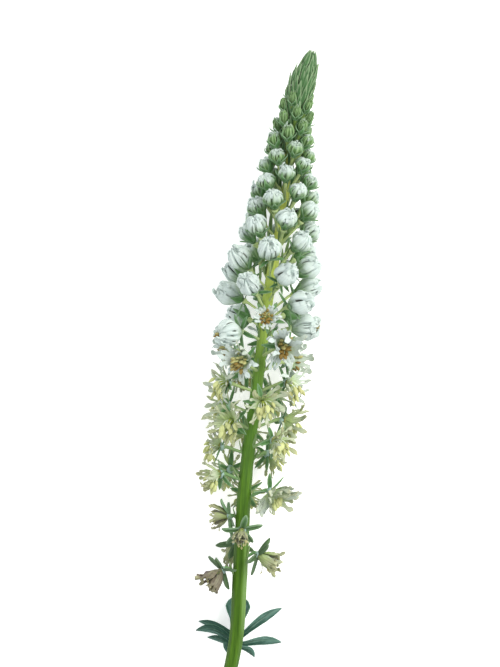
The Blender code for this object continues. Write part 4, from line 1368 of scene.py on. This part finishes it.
class MIGNONETTE_OT_sepals(bpy.types.Operator):
    """Sepals: spread under the open flowers, clasping the buds"""

    bl_idname = "mignonette.sepals"
    bl_label = "Sepals"

    def execute(self, context):
        settings = context.scene.mignonette_stem
        widths = [(0.0, 0.40), (0.35, 0.58), (0.7, 0.46), (0.92, 0.18), (1.0, 0.05)]
        thick = [(0.0, 0.50), (0.4, 0.66), (0.75, 0.56), (0.95, 0.26), (1.0, 0.08)]
        spread = [blade(4.0, widths, 84 + 9 * n, 12 - 9 * n, (SEPAL_ROOT, -0.12), fold=0.3)
                  for n in range(3)]
        stiff = [blade(4.1, thick, 64 + 16 * n, 16 - 14 * n, (SEPAL_ROOT, -0.2), fold=0.4,
                       thickness=0.42) for n in range(3)]
        clasps = {kind: [clasping_sepal(*sizes, taper) for sizes in rows]
                  for kind, (taper, rows) in CLASPS.items()}
        kit = Kit("sepal", spread=spread, stiff=stiff, **clasps)
        marks = Marks()
        for site in SITES:
            draw = site.draws("sepals")
            loose = site.y <= LOOSE_SEPALS
            if site.stage == "green bud":
                clasp = "closed"
            else:
                clasp = "clasping" if loose else "half_closed"
            for number in range(PETALS):
                angle = site.around(number + 0.5 + draw.uniform(-0.08, 0.08), PETALS)
                turn = site.turned(angle, True)
                if "bud" in site.stage and (not loose or draw.random() < 0.45):
                    foot, wide, tall = bud_size(site)
                    marks.set(foot, turn, (wide, wide, tall), draw.choice(kit.numbers[clasp]))
                    continue
                dry = site.stage == "withered"
                pick = draw.choice(kit.numbers["stiff" if dry else "spread"])
                turn = spun(turn, 1, draw.uniform(-12, 12))
                if site.y < FIRST_FADED and site.index != SPENT:
                    turn = spun(spun(turn, 1, draw.uniform(-20, 20)), 0, draw.uniform(-60, 60))
                size = room(site.walls, site.seat, turn, kit.shapes[pick].points,
                            most=1.0 if dry else 0.95, least=0.5, slack=0.3)
                marks.set(site.seat, turn, size, pick)
        finish = green_finish("mignonette_sepal", settings.sepal_colour, tip=(0.20, 0.33, 0.17),
                              edge=(0.20, 0.32, 0.185), low=(-24.0, -40.0, (0.065, 0.11, 0.05)))
        stand_for(kit.place("sepals", marks, finish), *GREEN_STEM)
        kit.drop()
        return {"FINISHED"}


def petal_marks(site, kit, kind, ages, play=1.0, hood=0.0, slack=0.5):
    """Marks of a flower's petals, of uneven pose, each as large as its cell lets it be."""
    draw = site.draws("petals")
    marks = Marks()
    count = PETAL_COUNTS.get(site.index, PETALS)
    for number in range(count):
        angle = site.around(number + 0.5 + draw.uniform(-0.12, 0.12) * play, count)
        turn = site.turned(angle, True)
        lean = draw.uniform(35, 60)
        turn = spun(spun(spun(turn, 1, lean), 2, draw.uniform(-32, 32) * play), 1, -lean)
        below = turn[:, 0].dot(DOWN)
        capped = site.index in CAPPED and below < 0.1
        turn = spun(turn, 1, draw.uniform(-14, 16) * play + hood * (0.0 if capped else below))
        pick = draw.choice(kit.numbers["cap" if capped else kind])
        most = site.fullness * (1 - 0.007 * hood * max(below, 0.0))
        size = room(site.walls, site.seat, turn, kit.shapes[pick].points, most, least=0.6,
                    slack=slack)
        marks.set(site.seat, turn, size, pick, age=draw.uniform(*ages))
    return marks


class MIGNONETTE_OT_open_flowers(bpy.types.Operator):
    """Petals of the open flowers, cupped and white at first, then spread and cream"""

    bl_idname = "mignonette.open_flowers"
    bl_label = "Open flowers"

    def execute(self, context):
        settings = context.scene.mignonette_flowers
        length = settings.petal_length / MM
        kit = Kit(
            "petal",
            star=[petal(length * 0.57, 30 + 8 * n, 12, width=0.95, seed=21 + n, notch=0.6,
                        curl=0.6, spread=16, crumple=0.06) for n in range(3)],
            hood=[petal(length * 1.04, 30 + 8 * n, 4 + 8 * (n % 2), width=1.75, seed=31 + n,
                        notch=0.52, fingers=3 + n % 2, curl=1.0, spread=20, crumple=0.06)
                  for n in range(4)],
            hand=[petal(length * 1.04, 34 + 6 * n, 16 + 12 * (n % 3),
                        width=1.35 + 0.15 * (n % 3), seed=41 + n, notch=(0.28, 0.44, 0.36)[n % 3],
                        fingers=3 + (n + 1) % 3, curl=1.1, spread=34, crumple=0.14, pinch=0.42)
                  for n in range(6)],
            faded=[petal(length * 1.02, 38 + 5 * n, -30 - 10 * n, width=1.3, seed=61 + n,
                         notch=(0.56, 0.7)[n % 2], curl=1.6, spread=18, crumple=0.2, wrap=0.4,
                         pinch=0.34) for n in range(4)],
            cap=[petal(length * 1.12, 50 - 4 * n, -84 + 12 * n, width=2.1, seed=91 + n, notch=0.6,
                       fingers=3 + n % 2, curl=0.9, spread=16, crumple=0.05, wrap=0.3)
                 for n in range(3)],
            flat=[petal(length * 1.25, 64 + 6 * n, 14, width=1.5, seed=95 + n, notch=0.36,
                        fingers=4, curl=1.1, spread=30, crumple=0.12, pinch=0.42)
                  for n in range(3)])
        bells = Kit("bell", bell=[dome(*BUD_GRID, 0.18, seed=97 + n, tips=1.6) for n in range(2)])
        finish, bell_finish = petal_finish(settings), bud_finish(context.scene.mignonette_buds)
        for number, site in blooms("open"):
            name, nodes = f"petals_{number}", [f"bloom_{number}"]
            if site.is_bell:
                marks = Marks()
                marks.set(site.seat, site.turned(site.spin + 0.6, True), BELL_SIZE, site.index % 2)
                stand_for(bells.place(name, marks, bell_finish), nodes, "open_flower")
                continue
            if site.index == EARLY_STAR:
                kind, play, hood = "star", 0.4, 0.0
            elif site.axis[2] < -0.6:
                kind, play, hood = "flat", 1.0, 0.0
            elif site.y > FULLY_OPEN - 1 or site.index in YOUNGER:
                kind, play, hood = "hood", 0.7, 30.0
            elif site.y > FIRST_FADED:
                kind, play, hood = "hand", 1.0, 8.0
            else:
                kind, play, hood = "faded", 0.8, 0.0
            age = ramp(site.y, FULLY_OPEN + 5, FULLY_OPEN - 10) - YOUNGER.get(site.index, 0.0)
            marks = petal_marks(site, kit, kind, (age - 0.45, age + 0.15), play, hood,
                                slack=0.8 if hood else 0.5)
            piece = kit.place(name, marks, finish, play=0.03, seed=site.index + 1)
            stand_for(piece, nodes, "open_flower")
        bells.drop()
        kit.drop()
        return {"FINISHED"}


class MIGNONETTE_OT_withered_flowers(bpy.types.Operator):
    """Dry, crumpled petals of the lowest flowers, hanging like closed bells"""

    bl_idname = "mignonette.withered_flowers"
    bl_label = "Withered flowers"

    def execute(self, context):
        settings = context.scene.mignonette_flowers
        kit = Kit("dry_petal", dry=[
            petal(5.6 + 0.2 * n, 40 + 4 * n, -104 + 16 * (n % 3), width=1.25, seed=51 + n,
                  notch=0.66, curl=1.5, spread=12, crumple=0.22, wrap=0.8, thickness=0.2)
            for n in range(5)])
        finish = petal_finish(settings)
        for number, site in blooms("withered"):
            marks = petal_marks(site, kit, "dry", DRYNESS[site.index], play=0.5)
            piece = kit.place(f"petals_{number}", marks, finish, play=0.05, seed=site.index + 1)
            stand_for(piece, [f"bloom_{number}"], "withered_flower")
        kit.drop()
        return {"FINISHED"}


def heart_marks(site, kit, stamens):
    """Marks of a flower's seed case and stamens, which bend down where they are long."""
    draw = site.draws("stamens")
    marks = Marks()
    dry, fresh, star = site.stage == "withered", site.y > FULLY_OPEN - 1, site.index == EARLY_STAR
    marks.set(site.seat, site.turned(site.spin), 0.7 if fresh or dry else 1.0,
              kit.numbers["case"][int(dry)])
    ripe = ramp(site.y, FULLY_OPEN + 3.5, FULLY_OPEN - 4.5)
    crowd = 10 if star else 16 if site.youth < 0.6 and fresh else 0
    count = 7 if dry else stamens + crowd
    for number in range(count):
        angle = site.around(number + draw.uniform(-0.3, 0.3), count)
        out = site.ray(angle, 90)
        polar = draw.uniform(2, 54 if fresh else 30) if fresh or dry else draw.uniform(12, 46)
        start = unit(site.ray(angle, polar) + site.tilt)
        if not fresh and not dry:
            start = unit(start + DOWN * draw.uniform(0.15, 0.6))
        root = site.seat + site.axis * 0.55 + out * (0.2 if fresh else 0.55)
        if site.is_bell:
            start = unit(site.tilted() + start * 0.35)
            root = site.seat + site.tilted() * MOUTHS[site.index]
        sag = DOWN - start * DOWN.dot(start)
        side = unit(sag) if np.linalg.norm(sag) > 0.05 else out
        turn = upright(side, start)
        if fresh or dry:
            pick = draw.choice(kit.numbers["dried" if dry else "short"])
        else:
            fall = math.degrees(math.acos(max(-1.0, min(1.0, DOWN.dot(start)))))
            wanted = fall * draw.uniform(0.45, 0.9)
            pick = min(kit.numbers["long"], key=lambda n: abs(BENDS[n] - wanted))
        most = 0.7 if star else draw.uniform(0.75, 1.15)
        size = room(site.walls, root, turn, kit.shapes[pick].points, most, least=0.55, slack=0.6)
        low = out.dot(DOWN) * (0.35 if fresh else 0.0)
        tint = min(max(ripe + draw.uniform(-0.2, 0.2) - low, 0.0), 1.0)
        marks.set(root, turn, size, pick, ripe=draw.uniform(1.5, 2.0) if dry else tint)
    return marks


class MIGNONETTE_OT_hearts(bpy.types.Operator):
    """Stamens and seed case of every flower: the threads of open ones bend down by their weight"""

    bl_idname = "mignonette.hearts"
    bl_label = "Stamens and seed cases"

    def execute(self, context):
        settings = context.scene.mignonette_flowers
        kit = Kit("heart",
                  long=[stamen(2.9, bend, anther_length=1.85, anther_girth=0.56)
                        for bend in BENDS],
                  short=[stamen(2.0, bend, anther_length=1.5, anther_girth=0.5)
                         for bend in BENDS[:2]],
                  dried=[stamen(3.3, bend, anther_length=0.8, anther_girth=0.22)
                         for bend in BENDS[:3]],
                  case=[seed_case(height=1.5, girth=0.62), seed_case(height=1.8, girth=0.75)])
        finish = heart_finish(settings)
        for number, site in blooms("open", "withered"):
            piece = kit.place(f"heart_{number}", heart_marks(site, kit, settings.stamens), finish)
            stand_for(piece, [f"bloom_{number}"], f"{site.stage}_flower")
        kit.drop()
        return {"FINISHED"}


class MIGNONETTE_OT_white_buds(bpy.types.Operator):
    """White buds: domes of folded petals with slits and curled tips"""

    bl_idname = "mignonette.white_buds"
    bl_label = "White buds"

    def execute(self, context):
        settings = context.scene.mignonette_buds
        kit = Kit("dome",
                  tight=[dome(*BUD_GRID, settings.slit_depth, seed=71 + n, taper=HALF_TAPER)
                         for n in range(3)],
                  loose=[dome(*BUD_GRID, settings.slit_depth, seed=74 + n, tips=1.2)
                         for n in range(3)])
        finish = bud_finish(settings)
        for number, site in blooms("white bud"):
            draw = site.draws("buds")
            foot, wide, tall = bud_size(site)
            marks = Marks()
            pick = draw.choice(kit.numbers["loose" if site.y < LOOSE_SEPALS else "tight"])
            marks.set(foot, site.turned(site.spin + 0.3), (wide, wide, tall), pick,
                      youth=ramp(site.y, *WHITE_BUDS_GREEN))
            stand_for(kit.place(f"bud_{number}", marks, finish), [f"bloom_{number}"], "white_bud")
        kit.drop()
        return {"FINISHED"}


class MIGNONETTE_OT_green_buds(bpy.types.Operator):
    """Young green buds under the growing tip"""

    bl_idname = "mignonette.green_buds"
    bl_label = "Green buds"

    def execute(self, context):
        settings = context.scene.mignonette_buds
        depth = settings.slit_depth * 1.2
        kit = Kit("young_dome", young=[dome(*YOUNG_BUD_GRID, depth, seed=81 + n, taper=TAPER)
                                       for n in range(4)])
        marks = Marks()
        for site in SITES:
            if site.stage != "green bud":
                continue
            draw = site.draws("buds")
            foot, wide, tall = bud_size(site)
            top = ramp(site.y, *YOUNG_BUDS_SLIM)
            wide, tall = wide * (0.94 - 0.26 * top), tall * (1.0 + 0.3 * top)
            marks.set(foot, site.turned(site.spin + 0.3), (wide, wide, tall),
                      draw.choice(kit.numbers["young"]),
                      youth=1.0 + 1.1 * ramp(site.y, *YOUNG_BUDS_GREEN))
        stand_for(kit.place("green_buds", marks, bud_finish(settings)), *GREEN_STEM)
        kit.drop()
        return {"FINISHED"}


def stalk_bracts(marks, site, kit):
    """Marks of the bracts under one stalk: three clasp a young bud."""
    draw = site.draws("bracts")
    turn = upright(site.out, site.along)
    foot = site.stalk_foot()
    low, tall = kit.numbers["low"], kit.numbers["tall"]
    if site.y < CLASPING_BRACTS:
        start = foot - site.along * 0.5 + site.out * 0.2 * read(STEM_WIDTHS, foot[1])
        marks.set(start, turn, draw.uniform(0.85, 1.15), draw.choice(low))
        if site.y > FULLY_OPEN and abs(site.out[2]) < 0.6:
            turn = spun(turn, 2, draw.choice((-50, 50)))
            marks.set(start, turn, draw.uniform(0.9, 1.2), low[-1])
        return
    base, _, _ = bud_size(site)
    for side in (0, -1, 1):
        share = 0.35 + 0.3 * abs(side)
        start = foot * share + base * (0.65 - 0.3 * abs(side)) + site.out * 0.3
        spin = spun(turn, 2, draw.uniform(-25, 25) + side * 60)
        size = draw.uniform(0.8, 1.1) * (1.0 if site.y > LONG_BRACTS else 0.85)
        marks.set(start, spin, size, draw.choice(tall))


def tip_bracts(marks, kit):
    """Marks of the bracts in rows round the growing tip, which keep to its outline."""
    length, shrinking, turn_of_row = 5.0, 5.2, 0.381966
    last_wide_row, last_open_row = 64, 66
    for row, y in enumerate(np.arange(*TIP_ROWS)):
        along, right, up = axis_frame(y)
        draw = random.Random(row + SEEDS["tip"])
        count = 9 if y < last_wide_row else 8
        for number in range(count):
            step = number + row * turn_of_row + draw.uniform(-0.15, 0.15)
            out = swung(up, right, 2 * math.pi * step / count)
            size = min(1.0, (TIP_END - y) / shrinking) * draw.uniform(0.84, 1.04)
            near = read(TIP_OUTLINE, y) * 0.74
            far = read(TIP_OUTLINE, y + length * size) * (0.9 if y < last_open_row else 0.62)
            lean = math.atan2(far - near, length * size) + math.radians(draw.uniform(-6, 4))
            turn = upright(swung(out, -along, lean), swung(along, out, lean))
            marks.set(axis_point(y) + out * near, turn, size, draw.choice(kit.numbers["tip"]))


class MIGNONETTE_OT_bracts(bpy.types.Operator):
    """Narrow bracts: one under every stalk, and those pressed round the growing tip"""

    bl_idname = "mignonette.bracts"
    bl_label = "Bracts"

    def execute(self, context):
        settings = context.scene.mignonette_stem
        widths = [(0.0, 0.30), (0.4, 0.42), (0.75, 0.24), (1.0, 0.03)]
        slim = [(0.0, 0.34), (0.4, 0.46), (0.75, 0.28), (1.0, 0.02)]
        kit = Kit("bract",
                  low=[blade(3.4, widths, 12 + 12 * n, -10, fold=0.4, rows=7) for n in range(3)],
                  tall=[blade(4.6, slim, 16 + 5 * n, -14 - 6 * n, fold=0.5) for n in range(3)],
                  tip=[blade(5.2, slim, 8 + 3 * n, -16 - 5 * n, fold=0.6, twist=10 * (n - 1))
                       for n in range(3)])
        marks = Marks()
        for site in SITES:
            stalk_bracts(marks, site, kit)
        tip_bracts(marks, kit)
        finish = green_finish("mignonette_bract", settings.bract_colour, tip=(0.31, 0.42, 0.24),
                              edge=(0.30, 0.41, 0.23), low=(46.0, 30.0, (0.20, 0.31, 0.11)),
                              spread=1.6)
        stand_for(kit.place("bracts", marks, finish), *GREEN_STEM)
        kit.drop()
        # The core has no share or across marks, so the bract finish paints it at its darkest:
        # painted shade among the bracts.
        core = [(axis_point(y), read(TIP_OUTLINE, y) * 0.68) for y in np.arange(*TIP_CORE)]
        grow_tubes("tip_core", [core], finish, sides=14)
        return {"FINISHED"}


class MIGNONETTE_OT_leaf(bpy.types.Operator):
    """Leaf with its rachis and lobes"""

    bl_idname = "mignonette.leaf"
    bl_label = "Leaf"

    def execute(self, context):
        settings = context.scene.mignonette_leaf
        thickness = settings.thickness / MM
        shape = tube(RACHIS, [0.8, 0.65, 0.55, 0.5, 0.45, 0.3], 8, side=(1, 0, 0), across=0.0)
        for root, point, width, bow in LEAF_LOBES:
            shape = shape + leaf_lobe(root, point, width, bow, thickness)
        shape.points = shape.points - BOX_MIDDLE
        leaf = shown("leaf_blades", shape.mesh("leaf_blades"))
        leaf.data.materials.append(leaf_finish(settings))
        stand_for(leaf, ["leaf"], "leaf")
        return {"FINISHED"}


def set_sockets(node, **values):
    """Set sockets of a node to plain values, with underscores for the spaces in their names."""
    for key, value in values.items():
        node.inputs[key.replace("_", " ")].default_value = value


class MIGNONETTE_OT_stage(bpy.types.Operator):
    """Pale floor, soft light and the camera over the spike"""

    bl_idname = "mignonette.stage"
    bl_label = "Stage"

    def execute(self, context):
        settings, scene = context.scene.mignonette_stage, context.scene
        reach = 1.5
        floor = shown("floor", new_mesh("floor", [(-reach, -reach, 0), (reach, -reach, 0),
                                                  (reach, reach, 0), (-reach, reach, 0)],
                                        faces=[(0, 1, 2, 3)]))
        paint = bpy.data.materials.new("pale_floor")
        paint.use_nodes = True
        pale = (*settings.floor_colour, 1.0)
        set_sockets(paint.node_tree.nodes["Principled BSDF"], Base_Color=pale, Roughness=0.9,
                    Specular_IOR_Level=0.1, Emission_Color=pale, Emission_Strength=0.45)
        floor.data.materials.append(paint)
        scene.world = bpy.data.worlds.new("soft_sky")
        scene.world.use_nodes = True
        set_sockets(scene.world.node_tree.nodes["Background"], Color=(0.97, 0.985, 1.0, 1.0),
                    Strength=0.82)
        for title, spot, size, power, colour in (
                ("key_light", (0.6, 0.45, 0.75), 0.8, 12.0, (1.0, 0.98, 0.93)),
                ("fill_light", (-0.7, -0.2, 0.6), 0.9, 1.5, (0.92, 0.97, 1.0))):
            lamp = bpy.data.lights.new(title, "AREA")
            lamp.size, lamp.energy, lamp.color = size, power, colour
            item = shown(title, lamp)
            item.location = spot
            item.rotation_euler = (-Vector(spot)).to_track_quat("-Z", "Y").to_euler()
        camera = shown("camera", bpy.data.cameras.new("camera"))
        wide, tall = FRAME
        x = (wide / 2 - MIDDLE_PIXEL[0]) * settings.pixel - BOX_MIDDLE[0] * MM
        y = (MIDDLE_PIXEL[1] - tall / 2) * settings.pixel - BOX_MIDDLE[1] * MM
        camera.location = (x, y, AXIS_HEIGHT * MM + settings.camera_height)
        camera.data.sensor_fit = "AUTO"
        camera.data.lens = (camera.data.sensor_width * settings.camera_height
                            / (tall * settings.pixel))
        camera.data.clip_start = 0.01
        scene.camera = camera
        scene.view_settings.view_transform = "Standard"
        scene.view_settings.look = "None"
        return {"FINISHED"}


class MIGNONETTE_PT_panel(bpy.types.Panel):
    """Shows the settings and a button for each operator"""

    bl_idname = "MIGNONETTE_PT_panel"
    bl_label = "Mignonette"
    bl_space_type = "VIEW_3D"
    bl_region_type = "UI"
    bl_category = "Mignonette"

    def draw(self, context):
        for group in GROUPS:
            box = self.layout.box()
            settings = getattr(context.scene, group)
            for key in settings.__annotations__:
                box.prop(settings, key)
        for operator in OPERATORS:
            self.layout.operator(operator.bl_idname)


GROUPS = {
    "mignonette_stem": MignonetteStemSettings,
    "mignonette_flowers": MignonetteFlowerSettings,
    "mignonette_buds": MignonetteBudSettings,
    "mignonette_leaf": MignonetteLeafSettings,
    "mignonette_stage": MignonetteStageSettings,
}
OPERATORS = (
    MIGNONETTE_OT_stage, MIGNONETTE_OT_stem, MIGNONETTE_OT_stalks, MIGNONETTE_OT_sepals,
    MIGNONETTE_OT_open_flowers, MIGNONETTE_OT_withered_flowers, MIGNONETTE_OT_hearts,
    MIGNONETTE_OT_white_buds, MIGNONETTE_OT_green_buds, MIGNONETTE_OT_bracts, MIGNONETTE_OT_leaf,
)


def register():
    """Register the settings, the operators and the panel."""
    for name, group in GROUPS.items():
        bpy.utils.register_class(group)
        setattr(bpy.types.Scene, name, bpy.props.PointerProperty(type=group))
    for item in OPERATORS + (MIGNONETTE_PT_panel,):
        bpy.utils.register_class(item)


def unregister():
    """Undo register."""
    for item in reversed(OPERATORS + (MIGNONETTE_PT_panel,)):
        bpy.utils.unregister_class(item)
    for name, group in GROUPS.items():
        delattr(bpy.types.Scene, name)
        bpy.utils.unregister_class(group)


def main():
    """Register the add-on and build every piece."""
    register()
    for operator in OPERATORS:
        family, name = operator.bl_idname.split(".")
        getattr(getattr(bpy.ops, family), name)()


if __name__ == "__main__":
    main()
